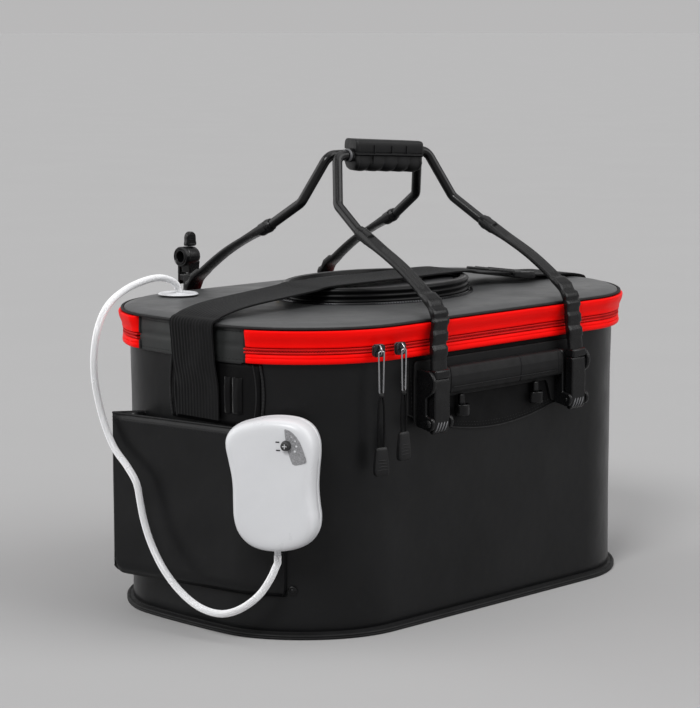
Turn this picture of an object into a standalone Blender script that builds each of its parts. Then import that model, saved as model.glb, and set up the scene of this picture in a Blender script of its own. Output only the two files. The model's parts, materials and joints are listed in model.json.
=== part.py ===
"""Folding fishing bucket: an EVA live-fish tub with a zipped lid, a two-bail carrying
handle, a shoulder strap, a side pocket and a battery air pump with its hose.

Frame: +X runs along the tub to the right end, the long front wall faces -Y, +Z is up,
and the origin is the centre of the tub's underside. The lid hinges on the left end.
Metres throughout.
"""
import math

import bmesh
import bpy
from mathutils import Matrix, Vector

GAP = 0.0003                      # clearance between pieces that touch

# Tub
LENGTH = 0.500                    # along X, without the bulge of the end walls
WIDTH = 0.318
ROUTE_LENGTH = 0.500              # the tub's size that the hose routes below are drawn for
ROUTE_WIDTH = 0.318
CORNER_RADIUS = 0.100
END_BULGE = 0.015                 # the end walls belly out by this much at their middle
WALL = 0.003
WALL_HEIGHT = 0.2687
FLOOR_THICKNESS = 0.005
FLANGE_PROUD = 0.008              # welded rim of the floor, outside the wall
HOOP_THICKNESS = 0.0045           # stiffening hoop sewn inside the rim
HOOP_HEIGHT = 0.012

# Zip and lid edge
TAPE_DROP = 0.0025                # top of the lower red tape below the top of the wall
TAPE_HEIGHT = 0.009
TAPE_PROUD = 0.0078
ZIP_ROW = 0.0028                  # height of one row of zip teeth
ZIP_PROUD = 0.0045
BAND_HEIGHT = 0.0164
BAND_PROUD = 0.0080               # lower edge of the lid's red band
LIP_PROUD = 0.0115                # upper lip of the same band
HINGE_HALF = 0.078                # half length of the hinge strip along the left end
HINGE_PROUD = 0.0040
HINGE_OUT = 0.006                 # lid axis outside the end wall
PIPING_RADIUS = 0.0015

# Lid panel and hatch
PANEL = 0.0025
PANEL_PROUD = 0.0060
EDGE_ROUND = 0.014                # width of the panel's rounded edge
EDGE_RISE = 0.0035
DOME_RISE = 0.0015
HATCH_X = -0.018
HATCH_Y = -0.014
HATCH_A = 0.108                   # half length and half width of the hatch collar
HATCH_B = 0.077
HATCH_WALL = 0.006
COLLAR_HEIGHT = 0.0155
RIDGE = 0.0028
RIDGES = 3
COVER_SUNK = 0.0035
COVER = 0.002
MESH_SHEET = 0.001
HATCH_SEGMENTS = 40

# Handle hinges on the long walls
PATCH = 0.0015
PATCH_HALF = 0.128
PATCH_DROP = 0.082                # from the tape's lower edge down to the patch's lowest point
PATCH_RISE = 0.026                # how far its lower edge curves up at the ends
PLATE = 0.0025
EAR = 0.004
EAR_GAP = 0.0005                  # between a leg and its ears
LEG_X = 0.103                     # middle of a leg at its hinge
LEG_WIDTH = 0.021
LEG_THICK = 0.0045
CLIP_THICK = 0.010
CLIP_TOP = 0.0515                 # from the hinge pin up to the top of the clip
PIN_OUT = 0.0195                  # hinge pins outside the wall
PIN_DROP = 0.064                  # hinge pins below the tape's lower edge
PIN_RADIUS = 0.0022
PIN_BORE = 0.0028
PIN_BOSS = 0.0115                 # radius of the rounded lower end of a clip or an ear
PIN_HEAD = 0.0042
BAR_HEIGHT = 0.0265
BAR_PROUD = 0.0125
BAR_DROP = 0.013                  # top of the bar below the tape's lower edge

# Bails and grip
TUBE_RADIUS = 0.005
BEND_RADIUS = 0.012
TUBE_START = 0.007                # straight run of a tube out of its leg
BAR_Z = 0.1496                    # bail bars above the lid's edge
BAR_GAP = 0.0024                  # between the two bars
SHOULDER_X = 0.066
KNEE_X = 0.085
KNEE_Y = 0.026
KNEE_Z = 0.102
SLEEVE_X = 0.092
SLEEVE_Y = 0.0665
SLEEVE_Z = 0.0765
RIM_X = 0.099                     # a leg where it bends over the lid's edge
RIM_CLEAR = 0.0105
LEG_CLEAR = 0.0025                # between a leg and the lip of the band
WAVE = 0.0011                     # flexing ribs on a leg
GRIP_HALF = 0.052
GRIP_WALL = 0.0045
GRIP_TOP = 0.0120
GRIP_BELLY = 0.0105
GRIP_FINGERS = 4
FINGER_DEPTH = 0.0022

# Shoulder strap
STRAP_WIDTH = 0.060
STRAP_Y = -0.020
STRAP = 0.0020
ANCHOR_HALF = 0.055
ANCHOR_TOP = 0.262
ANCHOR_BOTTOM = 0.2015
ANCHOR = 0.0015
ADJUSTER_X = 0.170
ADJUSTER_LENGTH = 0.034
ADJUSTER_WALL = 0.0035
DROP_Z = 0.236                    # where the left drop lies back against its anchor
FREE_DROP_OUT = 0.0110            # the right drop hangs free, this far outside the end wall
FREE_DROP_Z = 0.245
FREE_DROP_END = 0.214
HOOK = (0.004, 0.046, 0.024)
HOOK_Z = 0.2005
RING_OUT = 0.0055                 # the ring that the hook holds
RING_HALF = 0.024
RING_TOP = 0.204
RING_BOTTOM = 0.180
RING_WIRE = 0.0019

# Rod holder on the back left leg
ROD_X = -0.093
ROD_CLAMP = (0.022, 0.012, 0.028)
ROD_CLAMP_Z = 0.268
ROD_POST = (0.011, 0.009)
ROD_EAR = (0.010, 0.003)
ROD_EAR_OVER = 0.006              # the ear's top above the socket's axis
ROD_EAR_UNDER = 0.012             # and its foot below the post's top
ROD_FOOT = (0.010, 0.016, 0.007)
ROD_FOOT_DROP = 0.0045
ROD_BOLT = 0.0045
SOCKET_RADIUS = 0.0105
SOCKET_BORE = 0.0058
SOCKET_HALF = 0.0125
SOCKET_SWEEP = 0.0184             # room under its axis for the socket to tilt in
SOCKET_Z = 0.3320
LEVER = (0.011, 0.0035, 0.0165)

# Pocket on the left end
POCKET_BOTTOM = 0.041
POCKET_TOP = 0.2005
POCKET_FAR = (-0.040, 0.082)      # its free far corner, from the end wall's edge line
POCKET_FAR_S = -0.064             # where it meets the wall, along the edge
POCKET_NEAR_S = 0.062
POCKET_END_S = 0.112
POCKET_PROUD = 0.0065
POCKET_SHEET = 0.0014
SNAP_RADIUS = 0.0045

# Air pump, at the near left corner
PUMP_S = 0.0935                   # its clip's place along the edge
PUMP_ASIDE = 0.0195               # its middle, aside from its clip
PUMP_OFF = 0.0262                 # from the wall to the seam of the shells
PUMP_Z = 0.1555
PUMP_A = 0.0445
PUMP_B = 0.0650
PUMP_SQUARE = 0.62
PUMP_WAIST = 0.09
PUMP_FRONT = 0.0200
PUMP_BACK = 0.0175
PUMP_WALL = 0.0022
PUMP_SEGMENTS = 32
KNOB_RADIUS = 0.0048
KNOB_HEIGHT = 0.006
KNOB_AT = (0.0168, 0.0390)
MOTOR_RADIUS = 0.0105
MOTOR_LENGTH = 0.034
CELL_RADIUS = 0.0125
CELL_LENGTH = 0.048
CLIP_WIDTH = 0.015
CLIP_SHEET = 0.0010
CLIP_TAIL = 0.026
NOZZLE_RADIUS = 0.0032
NOZZLE_LENGTH = 0.006
NOZZLE_IN = 0.006                 # its axis behind the seam

# Air hose
HOSE_RADIUS = 0.0035
GROMMET_IN = 0.085                # its middle, in from the left end
GROMMET_ASIDE = 0.0355            # and in from the back wall
GROMMET_FLANGE = 0.0205
GROMMET_BORE = 0.0041
GROMMET_SLEEVE = 0.0065
HOSE_RUN = 0.007                  # its ends run straight for this much
HOSE_ROUTE = (
    (-0.1680, 0.1226, 0.3125), (-0.1780, 0.1200, 0.3180),
    (-0.1960, 0.1165, 0.3222), (-0.2190, 0.1125, 0.3215), (-0.2500, 0.1060, 0.3155),
    (-0.2790, 0.0975, 0.3040), (-0.2955, 0.0925, 0.2870), (-0.3035, 0.0905, 0.2650),
    (-0.3050, 0.0900, 0.2420), (-0.3025, 0.0890, 0.2190), (-0.3000, 0.0825, 0.1930),
    (-0.2990, 0.0690, 0.1690), (-0.2990, 0.0500, 0.1530), (-0.2990, 0.0360, 0.1380),
    (-0.2990, 0.0310, 0.1210), (-0.2990, 0.0255, 0.1020), (-0.2990, 0.0145, 0.0800),
    (-0.2990, -0.0025, 0.0590), (-0.2985, -0.0250, 0.0415), (-0.2980, -0.0515, 0.0305),
    (-0.2950, -0.0770, 0.0280), (-0.2890, -0.0970, 0.0345), (-0.2790, -0.1120, 0.0480),
    (-0.2690, -0.1180, 0.0635))
HOSE_STEP = 0.016
INNER_ROUTE = (
    (-0.1650, 0.1235, 0.2700), (-0.1655, 0.1230, 0.2300),
    (-0.1680, 0.1200, 0.1600), (-0.1700, 0.1150, 0.0900), (-0.1690, 0.1020, 0.0400),
    (-0.1620, 0.0820, 0.0180), (-0.1480, 0.0600, 0.0145), (-0.1300, 0.0420, 0.0140))
STONE_RADIUS = 0.008
STONE_LENGTH = 0.030

# Zip sliders on the front
SLIDER_1_ANGLE = math.radians(256.0)
SLIDER_2_PAST = 0.002             # the second one, just left of the front's straight run
SLIDER = (0.0125, 0.0050, 0.0120)
SLIDER_CLEAR = 0.0009
PULL_RADIUS = 0.0009
PULL_LENGTH = 0.040
PULL_HALF = 0.0030
CORD_RADIUS = 0.0014
TAB = (0.0135, 0.0060, 0.0290)
PULL_1_DROP = 0.118               # from the slider's middle down to the end of its tab
PULL_2_DROP = 0.106

BLACK_EVA = ("black_eva", (0.025, 0.025, 0.027), 0.55, 0.0)
LID_EVA = ("lid_eva", (0.060, 0.062, 0.064), 0.50, 0.0)
RED_BAND = ("red_band", (0.80, 0.010, 0.008), 0.42, 0.0)
BLACK_PLASTIC = ("black_plastic", (0.035, 0.035, 0.037), 0.45, 0.0)
BLACK_STEEL = ("black_steel", (0.040, 0.040, 0.042), 0.35, 0.6)
BLACK_RUBBER = ("black_rubber", (0.020, 0.020, 0.021), 0.60, 0.0)
WEBBING = ("webbing", (0.016, 0.016, 0.017), 0.85, 0.0)
STEEL = ("steel", (0.55, 0.55, 0.56), 0.28, 1.0)
GUNMETAL = ("gunmetal", (0.16, 0.16, 0.17), 0.30, 0.9)
WHITE_PLASTIC = ("white_plastic", (0.72, 0.73, 0.75), 0.35, 0.0)
GREY_PLASTIC = ("grey_plastic", (0.10, 0.10, 0.11), 0.40, 0.0)
HOSE_PVC = ("hose_pvc", (0.78, 0.79, 0.82), 0.30, 0.0)
STONE = ("air_stone", (0.30, 0.36, 0.42), 0.90, 0.0)

# Heights and places that follow from the sizes above
WALL_BOTTOM = FLOOR_THICKNESS + GAP
WALL_TOP = WALL_BOTTOM + WALL_HEIGHT
TAPE_TOP = WALL_TOP - TAPE_DROP
TAPE_BOTTOM = TAPE_TOP - TAPE_HEIGHT
ZIP_SPLIT = TAPE_TOP + GAP + ZIP_ROW
BAND_BOTTOM = ZIP_SPLIT + 2 * GAP + ZIP_ROW
BAND_TOP = BAND_BOTTOM + BAND_HEIGHT
PANEL_BOTTOM = BAND_TOP + GAP
LID_EDGE = PANEL_BOTTOM + PANEL
LID_FLAT = LID_EDGE + EDGE_RISE
LID_TOP = LID_FLAT + DOME_RISE
COLLAR_BOTTOM = LID_TOP + GAP
COLLAR_TOP = COLLAR_BOTTOM + COLLAR_HEIGHT
PIN_Y = WIDTH / 2 + PIN_OUT
PIN_Z = TAPE_BOTTOM - PIN_DROP
HINGE_X = -(LENGTH / 2 + END_BULGE + HINGE_OUT)
HINGE_Z = BAND_BOTTOM - 0.001
ROD_POST_TOP = SOCKET_Z - SOCKET_SWEEP
STRAIGHT_X = LENGTH / 2 - CORNER_RADIUS
STRAIGHT_Y = WIDTH / 2 - CORNER_RADIUS
ARC = math.pi / 2 * CORNER_RADIUS
PERIMETER = 4 * (STRAIGHT_X + STRAIGHT_Y + ARC)
GROMMET_X = GROMMET_IN - LENGTH / 2
GROMMET_Y = WIDTH / 2 - GROMMET_ASIDE


def clear_scene():
    for item in list(bpy.data.objects):
        bpy.data.objects.remove(item, do_unlink=True)


def finish_of(spec):
    """The Principled material of one finish, made once."""
    name, colour, roughness, metallic = spec
    found = bpy.data.materials.get(name)
    if found:
        return found
    made = bpy.data.materials.new(name)
    made.use_nodes = True
    shader = made.node_tree.nodes["Principled BSDF"]
    shader.inputs["Base Color"].default_value = (*colour, 1.0)
    shader.inputs["Roughness"].default_value = roughness
    shader.inputs["Metallic"].default_value = metallic
    made.diffuse_color = (*colour, 1.0)
    return made


def add_mesh(name, verts, faces, finish, origin=(0, 0, 0), smooth=True):
    """One object from points and faces, its normals outward and its origin on a joint's axis."""
    mesh = bpy.data.meshes.new(name)
    start = Vector(origin)
    mesh.from_pydata([Vector(v) - start for v in verts], [], faces)
    work = bmesh.new()
    work.from_mesh(mesh)
    bmesh.ops.recalc_face_normals(work, faces=work.faces)
    work.to_mesh(mesh)
    work.free()
    if smooth:
        mesh.shade_smooth()
        mesh.set_sharp_from_angle(angle=math.radians(32))
    made = bpy.data.objects.new(name, mesh)
    made.location = start
    made.data.materials.append(finish_of(finish))
    bpy.context.collection.objects.link(made)
    return made


def loft(name, loops, finish, closed=False, origin=(0, 0, 0), smooth=True):
    """A skin over loops of equal count. Closed joins the last loop to the first."""
    count = len(loops[0])
    verts = [point for loop in loops for point in loop]
    faces = []
    for i in range(len(loops) if closed else len(loops) - 1):
        a = i * count
        b = (i + 1) % len(loops) * count
        for j in range(count):
            k = (j + 1) % count
            faces.append((a + j, a + k, b + k, b + j))
    if not closed:
        faces.append(tuple(range(count)))
        last = (len(loops) - 1) * count
        faces.append(tuple(range(last, last + count)))
    return add_mesh(name, verts, faces, finish, origin, smooth)


def box(name, centre, size, finish, bevel=0.0008, origin=None, turn=0.0):
    """A box with bevelled edges, turned about the vertical."""
    cx, cy, cz = centre
    half = [s / 2 for s in size]
    spin = Matrix.Rotation(turn, 3, "Z")
    verts = []
    for x in (-1, 1):
        for y in (-1, 1):
            for z in (-1, 1):
                corner = spin @ Vector((x * half[0], y * half[1], z * half[2]))
                verts.append(corner + Vector((cx, cy, cz)))
    faces = [(0, 1, 3, 2), (4, 6, 7, 5), (0, 4, 5, 1), (2, 3, 7, 6), (0, 2, 6, 4), (1, 5, 7, 3)]
    made = add_mesh(name, verts, faces, finish, origin or centre)
    if bevel:
        rounding = made.modifiers.new("edges", "BEVEL")
        rounding.width = bevel
        rounding.segments = 1
    return made


def cylinder(name, start, end, radius, finish, segments=16, origin=None, bore=0.0):
    """A round bar, or a sleeve with a bore, between two points."""
    start, end = Vector(start), Vector(end)
    axis = (end - start).normalized()
    side = axis.orthogonal().normalized()
    other = axis.cross(side)

    def ring(centre, r):
        turn = 2 * math.pi / segments
        return [centre + r * (math.cos(i * turn) * side + math.sin(i * turn) * other)
                for i in range(segments)]
    if bore:
        loops = [ring(start, radius), ring(end, radius), ring(end, bore), ring(start, bore)]
    else:
        loops = [ring(start, radius), ring(end, radius)]
    return loft(name, loops, finish, closed=bool(bore), origin=origin or start)


def prism(name, outline, plane, low, high, finish, origin=(0, 0, 0)):
    """An outline in the XZ, YZ or XY plane, extruded along the third axis."""
    def at(point, depth):
        u, v = point
        if plane == "XZ":
            return (u, depth, v)
        if plane == "YZ":
            return (depth, u, v)
        return (u, v, depth)
    return loft(name, [[at(p, low) for p in outline], [at(p, high) for p in outline]],
                finish, origin=origin)


def boolean(target, tool, operation):
    """Cut with or join a tool, which stays behind as a hidden guide."""
    step = target.modifiers.new(operation.lower(), "BOOLEAN")
    step.operation = operation
    step.object = tool
    step.solver = "EXACT"
    tool.hide_render = True
    tool.display_type = "WIRE"


def edge_base(s):
    """A point of the tub's rounded rectangle, s along it from the left end's middle."""
    s = s % PERIMETER
    a, b, r = LENGTH / 2, WIDTH / 2, CORNER_RADIUS
    spans = (("left", STRAIGHT_Y), ("arc", ARC), ("front", 2 * STRAIGHT_X), ("arc", ARC),
             ("right", 2 * STRAIGHT_Y), ("arc", ARC), ("back", 2 * STRAIGHT_X), ("arc", ARC),
             ("left_far", STRAIGHT_Y))
    centres = {1: (-1, -1), 3: (1, -1), 5: (1, 1), 7: (-1, 1)}
    starts = {1: math.pi, 3: 1.5 * math.pi, 5: 0.0, 7: 0.5 * math.pi}
    for i, (kind, span) in enumerate(spans):
        if s <= span or i == len(spans) - 1:
            break
        s -= span
    if kind == "arc":
        angle = starts[i] + s / r
        sx, sy = centres[i]
        return (sx * STRAIGHT_X + r * math.cos(angle), sy * STRAIGHT_Y + r * math.sin(angle))
    if kind == "left":
        return (-a, -s)
    if kind == "front":
        return (-STRAIGHT_X + s, -b)
    if kind == "right":
        return (a, -STRAIGHT_Y + s)
    if kind == "back":
        return (STRAIGHT_X - s, b)
    return (-a, STRAIGHT_Y - s)


def edge_bulged(s):
    x, y = edge_base(s)
    reach = max(0.0, (abs(x) - STRAIGHT_X) / CORNER_RADIUS)
    belly = END_BULGE * (1 - (2 * y / WIDTH) ** 2) * reach ** 3
    return Vector((x + math.copysign(belly, x), y))


def edge(s, out=0.0):
    """A point of the wall's outline, moved outward by out."""
    tangent = (edge_bulged(s + 0.0005) - edge_bulged(s - 0.0005)).normalized()
    normal = Vector((tangent.y, -tangent.x))
    return edge_bulged(s) + normal * out


def edge_normal(s):
    tangent = (edge_bulged(s + 0.0005) - edge_bulged(s - 0.0005)).normalized()
    return Vector((tangent.y, -tangent.x, 0.0))


def stations(start, end, arc_steps=8, end_steps=3):
    """Places along the edge between two others: at each span's ends, and finer on its curves."""
    marks = []
    at = 0.0
    for kind, span in (("end", STRAIGHT_Y), ("arc", ARC), ("side", 2 * STRAIGHT_X), ("arc", ARC),
                       ("end", 2 * STRAIGHT_Y), ("arc", ARC), ("side", 2 * STRAIGHT_X),
                       ("arc", ARC), ("end", STRAIGHT_Y)):
        parts = {"arc": arc_steps, "side": 1, "end": end_steps}[kind]
        marks += [at + span * i / parts for i in range(parts)]
        at += span
    every = [m + turn * PERIMETER for turn in (-1, 0, 1) for m in marks]
    keep = [m for m in every if start + 0.002 < m < end - 0.002]
    return [start] + keep + [end]


def hoop(name, profile, finish, start=None, end=None, origin=(0, 0, 0)):
    """A profile of (out, z) swept round the tub's edge, all round or between two places."""
    whole = start is None
    marks = stations(0.0, PERIMETER)[:-1] if whole else stations(start, end)
    loops = []
    for s in marks:
        loops.append([(*edge(s, out), z) for out, z in profile])
    return loft(name, loops, finish, closed=whole, origin=origin)


def smooth_path(points, step):
    """A smooth curve through hand-chosen points, read at an even step."""
    pts = [Vector(p) for p in points]
    pts = [2 * pts[0] - pts[1]] + pts + [2 * pts[-1] - pts[-2]]
    fine = []
    for i in range(1, len(pts) - 2):
        p0, p1, p2, p3 = pts[i - 1:i + 3]
        for k in range(12):
            t = k / 12
            fine.append(0.5 * (2 * p1 + (p2 - p0) * t + (2 * p0 - 5 * p1 + 4 * p2 - p3) * t ** 2
                               + (3 * p1 - p0 - 3 * p2 + p3) * t ** 3))
    fine.append(pts[-2])
    length = sum((b - a).length for a, b in zip(fine, fine[1:]))
    count = max(2, round(length / step))
    out = [fine[0]]
    target, walked, i = length / count, 0.0, 0
    while len(out) < count:
        span = (fine[i + 1] - fine[i]).length
        if walked + span >= target * len(out):
            out.append(fine[i].lerp(fine[i + 1], (target * len(out) - walked) / span))
        else:
            walked += span
            i += 1
    return out + [fine[-1]]


def rounded_path(points, radius, steps=4):
    """Straight runs with a round bend at each inner point."""
    pts = [Vector(p) for p in points]
    out = [pts[0]]
    for before, corner, after in zip(pts, pts[1:], pts[2:]):
        into = (corner - before).normalized()
        away = (after - corner).normalized()
        angle = into.angle(away)
        if angle < 0.02:
            out.append(corner)
            continue
        cut = radius * math.tan(angle / 2)
        cut = min(cut, 0.45 * (corner - before).length, 0.45 * (after - corner).length)
        bend = cut / math.tan(angle / 2)
        start = corner - into * cut
        toward = (away - into * into.dot(away)).normalized()
        for k in range(steps + 1):
            turn = angle * k / steps
            out.append(start + into * bend * math.sin(turn) + toward * bend * (1 - math.cos(turn)))
    return out + [pts[-1]]


def tube(name, points, radius, finish, resolution=2, origin=(0, 0, 0), closed=False):
    """A round tube along a list of points."""
    curve = bpy.data.curves.new(name, "CURVE")
    curve.dimensions = "3D"
    curve.bevel_depth = radius
    curve.bevel_resolution = resolution
    curve.use_fill_caps = True
    line = curve.splines.new("POLY")
    line.points.add(len(points) - 1)
    start = Vector(origin)
    for spot, point in zip(line.points, points):
        spot.co = (*(Vector(point) - start), 1.0)
    line.use_cyclic_u = closed
    made = bpy.data.objects.new(name, curve)
    made.location = start
    curve.materials.append(finish_of(finish))
    bpy.context.collection.objects.link(made)
    return made


def ribbon(name, path, side, width, inner, outer, finish, origin=(0, 0, 0)):
    """A flat strip along a path: inner and outer are its thickness on either side of it.

    They may be numbers, or functions of the place along the path from 0 to 1."""
    pts = [Vector(p) for p in path]
    side = Vector(side).normalized()
    loops = []
    for i, point in enumerate(pts):
        ahead = pts[min(i + 1, len(pts) - 1)] - pts[max(i - 1, 0)]
        up = ahead.cross(side).normalized()
        t = i / (len(pts) - 1)
        low = inner(t) if callable(inner) else inner
        high = outer(t) if callable(outer) else outer
        w = (width(t) if callable(width) else width) / 2
        loops.append([point - side * w - up * low, point + side * w - up * low,
                      point + side * w + up * high, point - side * w + up * high])
    return loft(name, loops, finish, origin=origin)


def build_tub():
    def floor_loop(out, z):
        return [(*edge(s, out), z) for s in stations(0.0, PERIMETER)[:-1]]
    soft = 0.0015
    loft("tub_floor", [floor_loop(FLANGE_PROUD - soft, 0.0), floor_loop(FLANGE_PROUD, soft),
                       floor_loop(FLANGE_PROUD, FLOOR_THICKNESS - soft),
                       floor_loop(FLANGE_PROUD - soft, FLOOR_THICKNESS)], BLACK_EVA)
    hoop("tub_wall", [(0.0, WALL_BOTTOM), (0.0, WALL_TOP), (-WALL, WALL_TOP),
                      (-WALL, WALL_BOTTOM)], BLACK_EVA)
    inside = -WALL - GAP
    hoop("rim_hoop", [(inside, WALL_TOP - HOOP_HEIGHT), (inside, WALL_TOP),
                      (inside - HOOP_THICKNESS, WALL_TOP),
                      (inside - HOOP_THICKNESS, WALL_TOP - HOOP_HEIGHT)], BLACK_PLASTIC)


def build_zip():
    """The red tapes and the two rows of teeth, on every side but the hinge."""
    start, end = HINGE_HALF, PERIMETER - HINGE_HALF
    step = 0.0012
    middle = (TAPE_BOTTOM + TAPE_TOP) / 2
    hoop("tub_zip_tape", [(GAP, TAPE_BOTTOM), (TAPE_PROUD, TAPE_BOTTOM), (TAPE_PROUD, middle),
                          (TAPE_PROUD - step, middle + step / 2), (TAPE_PROUD - step, TAPE_TOP),
                          (GAP, TAPE_TOP)], RED_BAND, start, end)
    hoop("zip_teeth_lower", [(GAP, ZIP_SPLIT - ZIP_ROW), (ZIP_PROUD, ZIP_SPLIT - ZIP_ROW),
                             (ZIP_PROUD, ZIP_SPLIT), (GAP, ZIP_SPLIT)], GUNMETAL, start, end)
    hinge = (HINGE_X, 0, HINGE_Z)
    low = ZIP_SPLIT + GAP
    hoop("zip_teeth_upper", [(GAP, low), (ZIP_PROUD, low), (ZIP_PROUD, low + ZIP_ROW),
                             (GAP, low + ZIP_ROW)], GUNMETAL, start, end, origin=hinge)
    flare = BAND_BOTTOM + BAND_HEIGHT * 0.5
    lip = BAND_TOP - 0.0022
    hoop("lid_band", [(GAP, BAND_BOTTOM), (BAND_PROUD, BAND_BOTTOM), (BAND_PROUD + 0.0004, flare),
                      (LIP_PROUD, lip), (LIP_PROUD - 0.0006, BAND_TOP), (GAP, BAND_TOP)],
         RED_BAND, start, end, origin=hinge)
    hoop("hinge_strip", [(GAP, TAPE_BOTTOM), (HINGE_PROUD - 0.001, TAPE_BOTTOM),
                         (HINGE_PROUD, BAND_TOP), (GAP, BAND_TOP)], BLACK_EVA,
         -HINGE_HALF + GAP, HINGE_HALF - GAP)


def hatch_point(angle, out, z):
    return (HATCH_X + (HATCH_A + out) * math.cos(angle), HATCH_Y + (HATCH_B + out) * math.sin(angle), z)


def hatch_loop(out, z):
    turn = 2 * math.pi / HATCH_SEGMENTS
    return [hatch_point(i * turn, out, z) for i in range(HATCH_SEGMENTS)]


def lid_surface(inward):
    """Height of the lid's top at a distance inward from its edge, before the dome."""
    near = min(1.0, inward / EDGE_ROUND)
    return LID_EDGE + EDGE_RISE * (1 - (1 - near) ** 2)


def build_lid():
    hinge = (HINGE_X, 0, HINGE_Z)
    marks = stations(0.0, PERIMETER)[:-1]
    insets = (0.0, 0.004, 0.009, EDGE_ROUND)
    top = []
    for inset in insets:
        z = lid_surface(inset)
        top.append([(*edge(s, PANEL_PROUD - inset), z) for s in marks])
    ring_out, ring_in = [], []
    for s in marks:
        x, y = edge(s)
        angle = math.atan2((y - HATCH_Y) / HATCH_B, (x - HATCH_X) / HATCH_A)
        ring_out.append(hatch_point(angle, 0.006, LID_TOP))
        ring_in.append(hatch_point(angle, -HATCH_WALL - 0.006, LID_TOP))
    top += [ring_out, ring_in]
    under = [[(x, y, z - PANEL) for x, y, z in loop] for loop in reversed(top)]
    panel = loft("lid_panel", top + under, LID_EVA, closed=True, origin=hinge)
    hole = cylinder("grommet_hole", (GROMMET_X, GROMMET_Y, LID_FLAT - 0.02),
                    (GROMMET_X, GROMMET_Y, LID_FLAT + 0.02), GROMMET_SLEEVE + 0.0005,
                    BLACK_EVA, segments=20)
    boolean(panel, hole, "DIFFERENCE")
    piping = []
    centre = PANEL_PROUD + GAP + PIPING_RADIUS
    for k in range(6):
        a = k * math.pi / 3
        piping.append((centre + PIPING_RADIUS * math.cos(a),
                       PANEL_BOTTOM + PIPING_RADIUS + PIPING_RADIUS * math.sin(a)))
    hoop("lid_piping", piping, BLACK_RUBBER, origin=hinge)

    loops = [hatch_loop(-HATCH_WALL, COLLAR_BOTTOM), hatch_loop(0.0, COLLAR_BOTTOM)]
    pitch = COLLAR_HEIGHT / RIDGES
    for i in range(RIDGES):
        base = COLLAR_BOTTOM + i * pitch
        loops.append(hatch_loop(RIDGE, base + pitch * 0.45))
        loops.append(hatch_loop(0.0004, base + pitch * 0.95))
    loops += [hatch_loop(-0.001, COLLAR_TOP), hatch_loop(-HATCH_WALL, COLLAR_TOP)]
    loft("hatch_collar", loops, BLACK_EVA, closed=True, origin=hinge)
    inside = -HATCH_WALL - GAP
    cover_top = COLLAR_TOP - COVER_SUNK
    loft("hatch_cover", [hatch_loop(inside, cover_top - COVER), hatch_loop(inside, cover_top),
                         hatch_loop(inside - 0.02, cover_top + 0.001)], BLACK_EVA, origin=hinge)
    mesh_top = COLLAR_BOTTOM + 0.003
    loft("hatch_mesh", [hatch_loop(inside, mesh_top - MESH_SHEET), hatch_loop(inside, mesh_top)],
         WEBBING, origin=hinge)
    at = hatch_point(math.radians(157), RIDGE + 0.0045, 0)
    box("hatch_slider", (at[0], at[1], COLLAR_BOTTOM + 0.0045), (0.007, 0.006, 0.006), STEEL,
        origin=at[:2] + (COLLAR_BOTTOM,), turn=math.radians(70))


def patch_outline():
    """The EVA patch that carries a handle bracket: straight top, curved lower edge."""
    top = TAPE_BOTTOM - 0.0005
    points = [(PATCH_HALF, top), (-PATCH_HALF, top)]
    steps = 12
    for k in range(steps + 1):
        x = -PATCH_HALF + 2 * PATCH_HALF * k / steps
        points.append((x, TAPE_BOTTOM - PATCH_DROP + PATCH_RISE * (x / PATCH_HALF) ** 2))
    return points


def ear_outline(sign):
    """An ear of a bracket in the YZ plane, round about the pin at its foot."""
    root = WIDTH / 2 + GAP + PATCH + GAP + PLATE - 0.001
    top = TAPE_BOTTOM - BAR_DROP
    points = [(root, top), (PIN_Y + 0.006, top), (PIN_Y + PIN_BOSS - 0.003, top - 0.006)]
    for k in range(9):
        a = -math.pi * k / 8 * 0.9
        points.append((PIN_Y + (PIN_BOSS - 0.003) * math.cos(a),
                       PIN_Z + PIN_BOSS * math.sin(a)))
    points.append((root, PIN_Z - 0.004))
    return [(sign * y, z) for y, z in points]


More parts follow.
